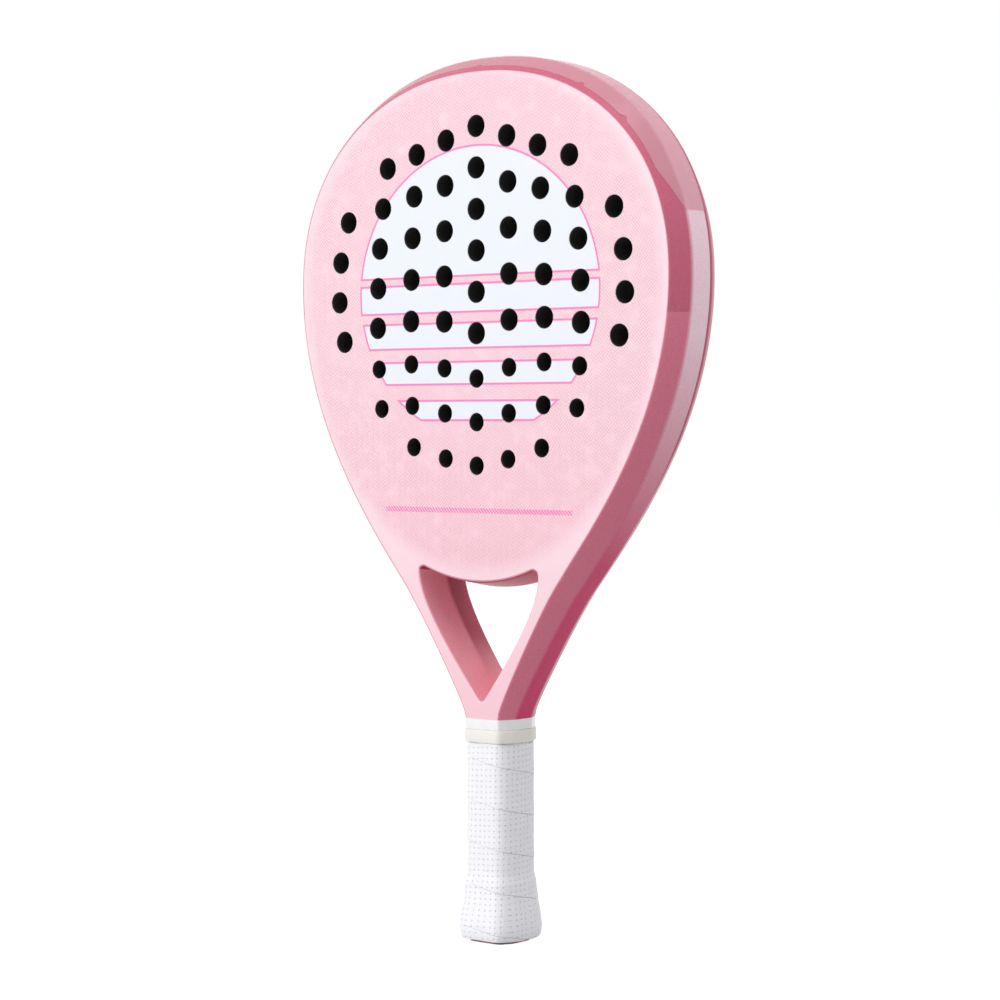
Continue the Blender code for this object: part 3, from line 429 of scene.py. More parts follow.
def throat_loop():
    """Even points round the throat, anticlockwise from its foot, and their normals into the opening. The
    corner's circle touches the upright wall, and touches the bridge where the two middles are both radii
    apart."""
    bridge_middle = np.array([0, BRIDGE_FOOT + BRIDGE_RADIUS])
    corner_x = WALL_SPREAD - BRIDGE_CORNER
    drop = math.sqrt((BRIDGE_RADIUS + BRIDGE_CORNER) ** 2 - corner_x**2)
    corner_middle = np.array([corner_x, bridge_middle[1] - drop])
    foot_middle = np.array([0, THROAT_FOOT + FOOT_RADIUS])
    foot = arc(foot_middle, FOOT_RADIUS, -math.pi / 2, -WAIST_ANGLE, FOOT_STEPS)
    lean = np.array([math.sin(WAIST_ANGLE), math.cos(WAIST_ANGLE)])
    top = corner_middle + np.array([BRIDGE_CORNER, 0])
    wall = bezier(foot[-1], foot[-1] + WALL_PULL_LOW * lean, top - np.array([0, WALL_PULL_HIGH]), top,
                  np.linspace(0, 1, WALL_STEPS)[1:-1])
    meeting = math.atan2(drop, -corner_x)
    corner = arc(corner_middle, BRIDGE_CORNER, 0, meeting, CORNER_STEPS)
    bridge = arc(bridge_middle, BRIDGE_RADIUS, meeting - math.pi, -math.pi / 2, BRIDGE_STEPS)[1:]
    half = np.concatenate([foot, wall, corner, bridge])
    loop = np.concatenate([half, half[-2::-1] * np.array([-1, 1])])
    run = np.append(0, np.cumsum(np.linalg.norm(np.diff(loop, axis=0), axis=1)))
    spots = np.linspace(0, run[-1], LOOP_POINTS, endpoint=False)
    even = np.stack([np.interp(spots, run, loop[:, axis]) for axis in (0, 1)], axis=1)
    along = np.roll(even, -1, axis=0) - np.roll(even, 1, axis=0)
    along /= np.linalg.norm(along, axis=1)[:, None]
    return even, np.stack([-along[:, 1], along[:, 0]], axis=1)


throat, throat_normal = throat_loop()
throat_box = np.stack([throat.min(axis=0), throat.max(axis=0)])
print("throat corners in mm:", np.round(1000 * throat_box, 1).tolist())

# %% [markdown]
# ## Paint of the frame
# The frame is a carbon tube under gloss lacquer. Its chamfers are an old rose, deeper over the top of the
# head, and painted a deeper rose on the rear half as painted shade, which laps a little onto the flat. Its
# flat sides fade from a near-white pink on the head, partly paint and partly a painted reflection, into a
# deep magenta on the arms. The throat is a warm rose, painted paler towards its foot as a painted highlight,
# and painted deeper at the rear and under the bridge as painted shade. The pale face colour over the rounded
# edges is partly a painted highlight too. An image could carry these colours, but the frame would have to be
# unwrapped for it. Instead, each facet is known by a number stored at its points, so the colours stay on the
# facets from any angle. A fine flake breaks up the flat colour, as it does in real lacquer.

# %% Lacquer for the frame
PALE_PINK = "#FBD5E0"
CHAMFER_ROSE = "#E58198"
CHAMFER_DEEP = "#D26D86"
CHAMFER_JOIN = 0.3215
# Painted shade: deeper rose on the rear chamfers, deep rose on the throat's rear half and under the bridge
REAR_SHADE_ROSE = "#C4607A"
THROAT_SHADE_DEEP = "#B63A58"
REAR_STRIP = 0.0062
# The side flats fade from pale on the head to deep magenta on the arms: two-tone paint, and the pale part is
# also a painted reflection
SIDE_PALE_AND_REFLECTION = "#FDDCE8"
SIDE_DEEP = "#D83C6E"
# The throat wall is painted paler towards its foot: a painted highlight where the light falls
THROAT_ROSE = "#FFACBC"
THROAT_LIT_PALE = "#FFB4C1"
THROAT_LIGHT_FADE = (0.13, 0.185)
SIDE_FADE = (0.195, 0.31)
FLAKE_MM = 0.9
FLAKE_SPREAD = (0.3, 0.7)
FLAKE_LIGHT = (0.93, 1.07)
FLAKE_SHEEN = (0.28, 0.4)
# front carries the pale face colour over the rounded edges, partly a painted highlight; rear carries painted
# shade
FACETS = ("front", "side", "rear", "throat")


def object_point(tree):
    """Object coordinates, whole and as x, y and z in metres."""
    point = add(tree, "TexCoord").node.outputs["Object"]
    split = add(tree, "SeparateXYZ", point).node
    return point, split.outputs["X"], split.outputs["Y"], split.outputs["Z"]


def frame_lacquer():
    """Gloss lacquer on carbon: a clear coat over colour, with a fine flake in its tint and its sheen."""
    finish, tree, shader = new_finish("gloss_lacquer_on_carbon", CHAMFER_ROSE, roughness=0.34,
                                      Coat_Weight=0.12, Coat_Roughness=0.12, Specular_IOR_Level=0.07)
    point, _, y, z = object_point(tree)
    front, flat, rear, inner = (
        add(tree, "Attribute", attribute_name=name).node.outputs["Fac"] for name in FACETS
    )
    # Side flats: two-tone paint, with a painted reflection in the pale part on the head
    fade = add(tree, "MapRange", z, *SIDE_FADE)
    side = add(tree, "Mix", fade, SIDE_DEEP, SIDE_PALE_AND_REFLECTION, data_type="RGBA")
    over_top = add(tree, "Math GREATER_THAN", z, CHAMFER_JOIN)
    chamfer = add(tree, "Mix", over_top, CHAMFER_ROSE, CHAMFER_DEEP, data_type="RGBA")
    # Painted highlight: the throat wall paler towards its foot
    up = add(tree, "MapRange", z, *THROAT_LIGHT_FADE)
    wall = add(tree, "Mix", up, THROAT_LIT_PALE, THROAT_ROSE, data_type="RGBA")
    colour = add(tree, "Mix", inner, chamfer, wall, data_type="RGBA")
    # Painted shade on the rear half of the rim and throat, and under the bridge
    behind = add(tree, "Mix", inner, REAR_SHADE_ROSE, THROAT_SHADE_DEEP, data_type="RGBA")
    colour = add(tree, "Mix", rear, colour, behind, data_type="RGBA")
    on_side = add(tree, "Math MULTIPLY", flat, add(tree, "Math LESS_THAN", y, REAR_STRIP))
    colour = add(tree, "Mix", on_side, colour, side, data_type="RGBA")
    # Pale face colour over the rounded edges: partly the face's own paint on the rim, a painted highlight on
    # the rim and the throat
    colour = add(tree, "Mix", front, colour, PALE_PINK, data_type="RGBA")
    flake = add(tree, "TexNoise", Vector=point, Scale=1000 / FLAKE_MM, Detail=2.0)
    light = add(tree, "MapRange", flake, *FLAKE_SPREAD, *FLAKE_LIGHT)
    tinted = add(tree, "VectorMath MULTIPLY", colour, light)
    tree.links.new(tinted, shader.inputs["Base Color"])
    sheen = add(tree, "MapRange", flake, 0.0, 1.0, *FLAKE_SHEEN)
    tree.links.new(sheen, shader.inputs["Roughness"])
    return finish


lacquer = frame_lacquer()
print("frame finish:", lacquer.name)

# %% [markdown]
# ## The painted frame
# Two sweeps make the frame: the rim's section carried from one side of the handle over the head to the other,
# and the throat's wall carried round its loop. The wall has a soft ridge halfway through its thickness, which
# runs out at the foot. A curve with a bevel object would sweep one fixed section, but these change on the
# way, so each station's points are worked out and joined to the next. Both sections turn in behind the faces,
# so each sweep is a closed body.

# %% Rim and throat walls
STATION_STEP = 0.002
THROAT_EDGE = 0.0012
THROAT_RIDGE = 0.0032
RIDGE_ROUND = 0.0015
RIDGE_RUN_OUT = (0.127, 0.145)
# Painted shade: how far down the throat must face to be shaded as under the bridge, and the heights where the
# rear shade fades in above the foot
UNDERSIDE_SHADE = (0.2, 0.7)
REAR_SHADE_FADE = (0.130, 0.160)
BRIDGE_SHADE = 0.5
# How the pale face colour laps over a rounded edge as a painted highlight, partly the face's own paint on the
# rim: the share of pale at its two ends, before it is held to 0 and 1
RIM_LAP_AND_HIGHLIGHT = (1.2, -2.0)
WALL_HIGHLIGHT_LAP = (1.8, -1.5)


def rim_section(place):
    """The rim from the front face round the side to the rear face, then back behind both faces."""
    chamfer = chamfer_width(place)
    flat = flat_half(place)
    seam = offset(place, chamfer + FACE_EDGE)[:, 1]
    half = half_depth(seam)
    front_seam, front, side = pair(chamfer + FACE_EDGE, half), pair(chamfer, half), pair(0, flat)
    mirror = np.array([1, -1])
    behind = pair(chamfer + FACE_EDGE, half - SKIN)
    return np.concatenate([
        rounded(front_seam, front, side, FACE_EDGE),
        rounded(front, side, side * mirror, SIDE_EDGE),
        rounded(side, side * mirror, front * mirror, SIDE_EDGE),
        rounded(side * mirror, front * mirror, front_seam * mirror, FACE_EDGE),
        (behind * mirror)[:, None], behind[:, None],
    ], axis=1)


def throat_section():
    """The throat's wall from the front face over the ridge to the rear face, then back behind it."""
    edge_height = throat[:, 1] - throat_normal[:, 1] * THROAT_EDGE
    half = half_depth(edge_height)
    ridge = THROAT_RIDGE * ease(throat[:, 1], *RIDGE_RUN_OUT)
    seam, edge, crest = pair(-THROAT_EDGE, half), pair(0, half), pair(ridge, 0 * half)
    mirror = np.array([1, -1])
    behind = pair(-THROAT_EDGE, half - SKIN)
    return np.concatenate([
        rounded(seam, edge, crest, THROAT_EDGE),
        rounded(edge, crest, edge * mirror, RIDGE_ROUND),
        rounded(crest, edge * mirror, seam * mirror, THROAT_EDGE),
        (behind * mirror)[:, None], behind[:, None],
    ], axis=1)


def along_ring(*stretches):
    """One number for each point of a section, stretch by stretch."""
    return np.concatenate([np.linspace(start, end, ROUND_STEPS) for start, end in stretches] + [np.zeros(2)])


rim_places = even_places(0, 3, STATION_STEP)
rim = both_sides(carried(outline(rim_places), inward(rim_places), rim_section(rim_places)))
walls = carried(throat, throat_normal, throat_section())
rim_rows, rim_columns = rim.shape[:2]
wall_rows, wall_columns = walls.shape[:2]
rim_count = rim_rows * rim_columns
frame_faces = grid_faces(rim_rows, rim_columns) + end_faces(rim_rows, rim_columns)
frame_faces += grid_faces(wall_rows, wall_columns, first=rim_count, close_rows=True)
rim_pale_and_highlight = np.clip(along_ring(RIM_LAP_AND_HIGHLIGHT, (0, 0), (0, 0), RIM_LAP_AND_HIGHLIGHT[::-1]), 0, 1)
rim_side = along_ring((0, 0), (0, 1), (1, 0), (0, 0))
rim_rear_shade = along_ring((0, 0), (0, 0), (1, 1), (1, 1))
# Painted highlight on the front half of the throat's rounded edge
wall_highlight = np.clip(along_ring(WALL_HIGHLIGHT_LAP, (0, 0), WALL_HIGHLIGHT_LAP[::-1]), 0, 1)
# Painted shade: deep rose on the rear half of the throat wall, fading out towards the foot, and all round its
# underside under the bridge
wall_rear_shade = along_ring((0, 0), (0, 1), (1, 1))
under_bridge_shade = ease(-throat_normal[:, 1], *UNDERSIDE_SHADE)[:, None]
wall_rear_shade = wall_rear_shade * ease(throat[:, 1], *REAR_SHADE_FADE)[:, None]
# Less painted highlight under the bridge, where it is in shade
wall_highlight = wall_highlight * (1 - BRIDGE_SHADE * under_bridge_shade)
wall_rear_shade = np.maximum(wall_rear_shade, under_bridge_shade)
wall_count = wall_rows * wall_columns
rim_facets = [np.tile(row, rim_rows) for row in (rim_pale_and_highlight, rim_side, rim_rear_shade)] + [np.zeros(rim_count)]
wall_facets = [wall_highlight.ravel(), np.zeros(wall_count), wall_rear_shade.ravel(), np.ones(wall_count)]
facets = {name: np.concatenate(both) for name, *both in zip(FACETS, rim_facets, wall_facets)}
frame_points = np.concatenate([rim.reshape(-1, 3), walls.reshape(-1, 3)])
make_piece("painted_frame", frame_points, frame_faces, lacquer,
           ["frame_tube", "bridge_shell", "handle_spine"], facets, crease=60)

# %% [markdown]
# ## Where the holes are drilled
# Columns of holes lean out like the staves of a barrel, and the lower ones are smaller. The rule below steps
# down each stave by its pitch, and keeps a hole only where it stays clear of the rim and of the staves before
# it, and above a curved floor. A list of measured places would look the same, but the rule still holds when
# the head changes.

# %% Drilled holes
TUBE_WIDTH = 0.0132
HOLE_LARGE = 0.0113
HOLE_SMALL = 0.0094
HOLE_EDGE_MARGIN = 0.004
HOLE_WEB = 0.005
TOP_ROW = LENGTH - 0.0358
ROOF_FALL = 0.0061
SMALL_HOLE_LINE = LENGTH - 0.151
SMALL_GROUP_STEP = 0.0008
SMALL_ROWS = 8
FIELD_FLOOR = FOLD + 0.035
FIELD_FLOOR_RADIUS = 0.0625
# Offset from the middle, bow radius, height of the waist, top hole, and the pitches of large and small holes
STAVES = (
    (0.0, math.inf, WIDEST, TOP_ROW, 0.0211, 0.0223),
    (0.0216, 3.1, WIDEST - 0.0195, TOP_ROW - ROOF_FALL, 0.02325, 0.02325),
    (0.0444, 1.0, WIDEST - 0.0245, TOP_ROW - 2 * ROOF_FALL, 0.02156, 0.02156),
    (0.0676, 0.424, WIDEST - 0.0175, TOP_ROW - 3 * ROOF_FALL, 0.0208, 0.0208),
    (0.095, 0.098, WIDEST - 0.0024, LENGTH - 0.081, 0.02106, 0.02106),
)


def stave_heights(top, pitch, small_pitch):
    """Heights down one stave: even steps of one pitch, then of the other below the line for small holes."""
    large = top - pitch * np.arange(math.ceil((top - SMALL_HOLE_LINE) / pitch))
    small = large[-1] - SMALL_GROUP_STEP - small_pitch * np.arange(1, SMALL_ROWS + 1)
    widths = np.repeat([HOLE_LARGE, HOLE_SMALL], [len(large), SMALL_ROWS])
    return np.concatenate([large, small]), widths


def drilled_holes(border):
    """Middle and radius of every hole: x = reach - (z - waist)^2 / (2 bow) down each stave, mirrored."""
    found = []
    for reach, bow, waist, top, pitch, small_pitch in STAVES:
        height, width = stave_heights(top, pitch, small_pitch)
        across = reach - (height - waist) ** 2 / (2 * bow)
        gap = np.linalg.norm(border[None] - pair(across, height)[:, None], axis=2).min(axis=1)
        inside = height >= FIELD_FLOOR + across**2 / (2 * FIELD_FLOOR_RADIUS)
        kept = inside & (gap > HOLE_EDGE_MARGIN + width / 2)
        if found:
            others = np.concatenate(found)
            apart = np.linalg.norm(others[None, :, :2] - pair(across, height)[:, None], axis=2) - others[:, 2]
            kept &= apart.min(axis=1) > HOLE_WEB + width / 2
        column = np.stack([across, height, width / 2], axis=1)[kept]
        found += [column, column * np.array([-1, 1, 1])] if reach else [column]
    return np.concatenate(found)


def mirrored_loop(half):
    """A closed loop from its right half, whose first point lies on the middle plane."""
    return np.concatenate([half, half[:0:-1] * np.array([-1, 1])])


core_half = offset(rim_places, TUBE_WIDTH + GLUE)
core_half = core_half[core_half[:, 1] > FOLD]
core_border = mirrored_loop(core_half)
holes = drilled_holes(core_border)
print("holes drilled:", len(holes))

# %% [markdown]
# ## Print and texture of the faces
# The faces are smooth painted composite with a moulded grip texture: short strokes in a basket pattern, at
# 45 degrees, which fade out near the rim. A plain white disc with slits is printed over it, with a hot pink
# keyline, and a hatched stripe runs below. The pink is painted deeper down the arms towards the handle, as
# painted shade. Where a hole cuts the skin, its wall is painted dark grey, as painted shade inside the hole.
# An image could hold all of it, but would blur close up. It is worked out from the point's own place on the
# face, so it is sharp at any distance.

# %% Printed disc and basket strokes
FACE_PINK = "#FBD9E3"
# The face's pink painted deeper down the arms towards the handle: painted shade
ARM_SHADE_PINK = "#F9CBD6"
LOW_PINK = "#FBD0DC"
LOW_FADE = (0.2, 0.3)
GROOVE_PINK = "#EB9DB4"
PRINT_WHITE = "#E9EDF4"
KEYLINE_PINK = "#FB7DBB"
# Dark grey on the skin's hole walls: painted shade inside the holes
BORE_SHADE_GREY = "#4C484A"
BORE_EDGE = 0.0002
BASKET_MM = 2.7
STROKE_MM = 1.35
STROKE_SOFT = (0.1, 0.9)
STROKE_TINT = 0.6
STROKE_RELIEF = 0.5
STROKE_DEPTH = 0.0003
WEAR_PER_METRE = 140.0
WEAR_SPREAD = (0.15, 0.5)
DISC_MIDDLE = 0.335
DISC_HALF = (0.080, 0.075)
KEYLINE = 0.0011
SLIT_PITCH = 0.0185
SLIT_START = 0.3428
SLIT_SHARE = 0.16
SLIT_GROWTH = 0.08
STRIPE = (0.223, 0.0013, 0.062)
HATCH_MM = 1.9
HATCH_SHARE = 0.62
TEXTURE_HALF = (0.121, 0.110)
TEXTURE_DROP = 0.152
TEXTURE_FADE = 0.94


def disc_distance(tree, x, z):
    """Metres inside the printed shape: the nearer of the disc's edge and the next slit. Below a start line
    the slits repeat at one pitch, and each takes a larger share of it."""
    across = add(tree, "Math DIVIDE", x, DISC_HALF[0])
    up = add(tree, "Math DIVIDE", add(tree, "Math SUBTRACT", z, DISC_MIDDLE), DISC_HALF[1])
    squares = [add(tree, "Math POWER", part, 2.0) for part in (across, up)]
    radius = add(tree, "Math SQRT", add(tree, "Math ADD", *squares))
    in_disc = add(tree, "Math MULTIPLY", add(tree, "Math SUBTRACT", 1.0, radius), DISC_HALF[0])
    count = add(tree, "Math DIVIDE", add(tree, "Math SUBTRACT", SLIT_START, z), SLIT_PITCH)
    part = add(tree, "Math FRACT", count)
    share = add(tree, "Math MULTIPLY_ADD", add(tree, "Math FLOOR", count), SLIT_GROWTH, SLIT_SHARE)
    past = add(tree, "Math SUBTRACT", part, share)
    clear = add(tree, "Math MINIMUM", past, add(tree, "Math SUBTRACT", 1.0, part))
    in_slit = add(tree, "Math MULTIPLY", clear, SLIT_PITCH)
    band = add(tree, "Math MAXIMUM", in_slit, add(tree, "Math SUBTRACT", z, SLIT_START))
    return add(tree, "Math MINIMUM", in_disc, band)


def basket_strokes(tree, x, z):
    """Strokes in a basket pattern: axes turned 45 degrees, and every other square of a checker runs the other
    way. 0 between strokes and 1 on them."""
    turned = 1000 / math.sqrt(2)
    first = add(tree, "Math MULTIPLY", add(tree, "Math ADD", x, z), turned)
    second = add(tree, "Math MULTIPLY", add(tree, "Math SUBTRACT", x, z), turned)
    cells = [add(tree, "Math FLOOR", add(tree, "Math DIVIDE", axis, BASKET_MM)) for axis in (first, second)]
    odd = add(tree, "Math FLOORED_MODULO", add(tree, "Math ADD", *cells), 2.0)
    even = add(tree, "Math SUBTRACT", 1.0, odd)
    along_second = add(tree, "Math MULTIPLY", second, even)
    line = add(tree, "Math MULTIPLY_ADD", first, odd, along_second)
    wave = add(tree, "Math COSINE", add(tree, "Math MULTIPLY", line, 2 * math.pi / STROKE_MM))
    return add(tree, "MapRange", wave, *STROKE_SOFT)


def texture_area(tree, x, z):
    """1 over the field and 0 near the rim, by an oval that hangs lower than it rises."""
    up = add(tree, "Math SUBTRACT", z, WIDEST)
    over = add(tree, "Math DIVIDE", add(tree, "Math MAXIMUM", up, 0.0), TEXTURE_HALF[1])
    under = add(tree, "Math DIVIDE", add(tree, "Math MINIMUM", up, 0.0), TEXTURE_DROP)
    across = add(tree, "Math DIVIDE", x, TEXTURE_HALF[0])
    squares = [add(tree, "Math POWER", part, 2.0) for part in (over, under, across)]
    total = add(tree, "Math ADD", add(tree, "Math ADD", *squares[:2]), squares[2])
    return add(tree, "MapRange", add(tree, "Math SQRT", total), 1.0, TEXTURE_FADE)


print("strokes per basket square:", round(BASKET_MM / STROKE_MM, 1))


# %% Satin lacquer of the faces
def face_lacquer():
    """Satin lacquer over a print on composite: soft sheen, and a moulded texture that catches the light."""
    finish, tree, shader = new_finish("satin_lacquer_on_composite", FACE_PINK, roughness=0.42)
    point, x, y, z = object_point(tree)
    inside = disc_distance(tree, x, z)
    field = texture_area(tree, x, z)
    # Painted shade: deeper pink from the fold down to the handle
    ground = add(tree, "Mix", add(tree, "MapRange", z, BAND_TOP, FOLD), ARM_SHADE_PINK, FACE_PINK, data_type="RGBA")
    low = add(tree, "Math MULTIPLY", add(tree, "MapRange", z, *LOW_FADE[::-1]), field)
    ground = add(tree, "Mix", low, ground, LOW_PINK, data_type="RGBA")
    plain = add(tree, "Math LESS_THAN", inside, 0.0)
    wear = add(tree, "TexNoise", Vector=point, Scale=WEAR_PER_METRE, Detail=2.0)
    uneven = add(tree, "MapRange", wear, *WEAR_SPREAD)
    area = add(tree, "Math MULTIPLY", add(tree, "Math MULTIPLY", field, plain), uneven)
    strokes = add(tree, "Math MULTIPLY", basket_strokes(tree, x, z), area)
    tint = add(tree, "Math MULTIPLY", strokes, STROKE_TINT)
    colour = add(tree, "Mix", tint, ground, GROOVE_PINK, data_type="RGBA")
    height, half, reach = STRIPE
    level = add(tree, "Math COMPARE", z, height, half)
    run = add(tree, "Math LESS_THAN", add(tree, "Math ABSOLUTE", x), reach)
    slant = add(tree, "Math FRACT", add(tree, "Math MULTIPLY", add(tree, "Math ADD", x, z), 1000 / HATCH_MM))
    hatch = add(tree, "Math LESS_THAN", slant, HATCH_SHARE)
    stripe = add(tree, "Math MULTIPLY", add(tree, "Math MULTIPLY", level, run), hatch)
    keyline = add(tree, "Math GREATER_THAN", inside, 0.0)
    panel = add(tree, "Math GREATER_THAN", inside, KEYLINE)
    # The skin's own hole walls, just behind the face, are painted dark grey: painted shade inside the holes
    below = add(tree, "Math LESS_THAN", add(tree, "Math ABSOLUTE", y), HALF_DEPTH - BORE_EDGE)
    bore_shade = add(tree, "Math MULTIPLY", below, add(tree, "Math GREATER_THAN", z, FOLD + FOLD_SOFTNESS))
    prints = ((stripe, KEYLINE_PINK), (keyline, KEYLINE_PINK), (panel, PRINT_WHITE), (bore_shade, BORE_SHADE_GREY))
    for cover, ink in prints:
        colour = add(tree, "Mix", cover, colour, ink, data_type="RGBA")
    tree.links.new(colour, shader.inputs["Base Color"])
    bump = add(tree, "Bump", Height=strokes, Strength=STROKE_RELIEF, Distance=STROKE_DEPTH)
    tree.links.new(bump, shader.inputs["Normal"])
    return finish


face_finish = face_lacquer()
print("face finish:", face_finish.name)

# %% [markdown]
# ## The two faces
# Each face is one skin of composite from the top of the head to the handle, with the throat cut out and the
# holes drilled through. Boolean cuts could drill them, but would leave sharp rims and thin slivers. Its
# outline, the throat and the holes are loops, so a constrained triangulation fills between them. Layers of
# those loops, one behind the other, give the skin its thickness and each hole a softened rim. A few rows of
# free points let the skin bend at the fold.

# %% Skins with drilled holes
HOLE_SIDES = 44
HOLE_RIM = 0.00035
# How deep a quarter circle has sunk halfway round, as a share of its radius
HALF_TURN = 0.29
FOLD_ROWS = 7
FOLD_COLUMNS = 21
FOLD_REACH = 0.9
FOLD_CLEARANCE = 0.002
# The kind of triangulation that keeps what lies inside the outer loop
INSIDE_LOOP = 1
# Metres below which it takes two points as one
SAME_POINT = 1e-9


def hole_loops(swell):
    """Points round every hole, with its radius enlarged: middle + radius (cos, sin)."""
    angle = np.linspace(0, 2 * math.pi, HOLE_SIDES, endpoint=False)
    circle = np.stack([np.cos(angle), np.sin(angle)], axis=1)
    return holes[:, None, :2] + (holes[:, 2, None, None] + swell) * circle


def following(lengths):
    """For points of several loops end to end, the number of the next point on the same loop."""
    starts = np.repeat(np.cumsum(lengths) - lengths, lengths)
    sizes = np.repeat(lengths, lengths)
    number = np.arange(sum(lengths))
    return starts + (number - starts + 1) % sizes


def filled(points, lengths):
    """Triangles between an outer loop and the anticlockwise loops inside it, through any free points after
    them. A triangle lies in an opening if its corners are all on that loop and run round it the same way."""
    count = sum(lengths)
    edges = np.stack([np.arange(count), following(lengths)], axis=1).tolist()
    result = delaunay_2d_cdt([Vector(point) for point in points.tolist()], edges, [], INSIDE_LOOP, SAME_POINT)
    origin = np.array([sources[0] for sources in result[3]])
    triangles = origin[np.array(result[2])]
    loop_of_point = np.append(np.repeat(np.arange(len(lengths)), lengths), np.zeros(len(points) - count, int))
    loop = loop_of_point[triangles]
    first, second, third = (points[corner] for corner in np.sort(triangles, axis=1).T)
    turning = np.cross(second - first, third - first) > 0
    opening = (loop[:, 0] > 0) & (loop[:, 0] == loop[:, 1]) & (loop[:, 1] == loop[:, 2]) & turning
    return triangles[~opening]


def layered_plate(layers, free, levels, lengths):
    """A plate from layers of the same loops. Both outer layers are filled, and walls join one layer to the
    next."""
    count = sum(lengths)
    triangles = filled(np.concatenate([layers[0], free]), lengths)
    outer = [np.concatenate([layers[0], free]), *layers[1:-1], np.concatenate([layers[-1], free])]
    first = np.cumsum([0] + [len(layer) for layer in outer])
    points = np.concatenate([
        np.stack([layer[:, 0], level(layer[:, 1]), layer[:, 1]], axis=1)
        for layer, level in zip(outer, levels)
    ])
    number = np.arange(count)
    after = following(lengths)
    walls = [
        np.stack([number + low, after + low, after + high, number + high], axis=1)
        for low, high in zip(first[:-2], first[1:-1])
    ]
    faces = triangles.tolist() + (triangles[:, ::-1] + first[-2]).tolist() + np.concatenate(walls).tolist()
    return points, faces


print("points round the holes:", hole_loops(0.0).size // 2)

# %% Front and rear skin
seam_half = offset(rim_places, chamfer_width(rim_places) + FACE_EDGE)
face_border = mirrored_loop(seam_half)
throat_cut = throat - throat_normal * THROAT_EDGE
fold_rows = FOLD + FOLD_SOFTNESS * np.linspace(-1, 1, FOLD_ROWS)
fold_reach = np.linspace(-FOLD_REACH, FOLD_REACH, FOLD_COLUMNS)
rows, reach = np.meshgrid(fold_rows, fold_reach, indexing="ij")
border_reach = np.interp(-rows, -seam_half[:, 1], seam_half[:, 0])
free_points = np.stack([(reach * border_reach).ravel(), rows.ravel()], axis=1)
throat_top = throat_cut[:, 1].max() + FOLD_CLEARANCE
free_points = free_points[free_points[:, 1] > throat_top]
face_lengths = [len(face_border), len(throat_cut)] + [HOLE_SIDES] * len(holes)

# Swell of the holes and depth below the surface, from the face to the back of the skin
RIM_STEPS = ((HOLE_RIM, 0.0), (HALF_TURN * HOLE_RIM, HALF_TURN * HOLE_RIM), (0.0, HOLE_RIM), (0.0, SKIN))


def face_layers():
    """The loops of a skin at each depth."""
    return [
        np.concatenate([face_border, throat_cut, hole_loops(swell).reshape(-1, 2)]) for swell, _ in RIM_STEPS
    ]


def face_levels(side):
    """How far in front of or behind the middle plane each layer lies, as functions of height."""
    return [lambda height, depth=depth: side * (half_depth(height) - depth) for _, depth in RIM_STEPS]


for name, side, node in (("front_face", -1, "front_face_skin"), ("rear_face", 1, "rear_face_skin")):
    points, faces = layered_plate(face_layers(), free_points, face_levels(side), face_lengths)
    make_piece(name, points, faces, face_finish, [node], crease=15)

# %% [markdown]
# ## The foam core
# Between the faces is a slab of black EVA foam, which shows only inside the holes. Dark cups in the holes
# could stand in for it, but a slab that is really bored is right from every angle and when the racket is
# taken apart. It is the same kind of layered plate, with straight bores and a fine open grain that catches a
# little light near the mouth.

# %% Core of EVA foam
FOAM_BLACK = "#201D1F"
FOAM_GRAIN_MM = 0.8
FOAM_SPREAD = (0.1, 0.8)
FOAM_RELIEF = 0.6
BORE_ROOM = 0.0001


def foam_finish(name, colour, light_colour, grain_mm):
    """Cut foam: dull, with cells that show as small light and dark spots and dents."""
    finish, tree, shader = new_finish(name, colour, roughness=0.85)
    point = object_point(tree)[0]
    cells = add(tree, "TexVoronoi", Vector=point, Scale=1000 / grain_mm)
    share = add(tree, "MapRange", cells, *FOAM_SPREAD)
    shades = add(tree, "Mix", share, colour, light_colour, data_type="RGBA")
    tree.links.new(shades, shader.inputs["Base Color"])
    dents = add(tree, "Bump", Height=cells, Strength=FOAM_RELIEF, Distance=grain_mm / 2000)
    tree.links.new(dents, shader.inputs["Normal"])
    return finish


core_depth = HALF_DEPTH - SKIN - GLUE
core_loops = np.concatenate([core_border, hole_loops(BORE_ROOM).reshape(-1, 2)])
core_levels = [lambda height, deep=deep: np.full_like(height, deep) for deep in (-core_depth, core_depth)]
core_lengths = [len(core_border)] + [HOLE_SIDES] * len(holes)
points, faces = layered_plate([core_loops, core_loops], np.zeros((0, 2)), core_levels, core_lengths)
eva = foam_finish("cut_eva_foam", FOAM_BLACK, "#343234", FOAM_GRAIN_MM)
make_piece("foam_core", points, faces, eva, ["eva_core"])

# %% [markdown]
# ## Rings round the handle
# The handle is an octagon, so the band, the collar and the butt cap are profiles carried round that octagon.
# A screw modifier could turn a profile, but only round a circle or an even octagon, and this one is neither.
# Each corner is rounded by the same quadratic curve as the rim, and every point of the ring is a plain sum:
# the sharp corner, plus an inset times one direction, plus a cut times another.

# %% Octagon of the handle
CHAMFER_FLAT = FLAT_ARM / 2
EDGE_STEPS = 5


def octagon(inset):
    """Eight corners, anticlockwise from above, after every side moves in by the inset."""
    depth = HALF_HANDLE_DEPTH - CHAMFER_FLAT
    slant = math.hypot(CHAMFER_HANDLE, depth)
    side = (HALF_HANDLE - inset, CHAMFER_FLAT - inset * (slant - depth) / CHAMFER_HANDLE)
    front_end = HALF_HANDLE - CHAMFER_HANDLE - inset * (slant - CHAMFER_HANDLE) / depth
    quarter = np.array([side, (front_end, HALF_HANDLE_DEPTH - inset)])
    quarters = [quarter, quarter[::-1] * [-1, 1], quarter * [-1, -1], quarter[::-1] * [1, -1]]
    return np.concatenate(quarters)


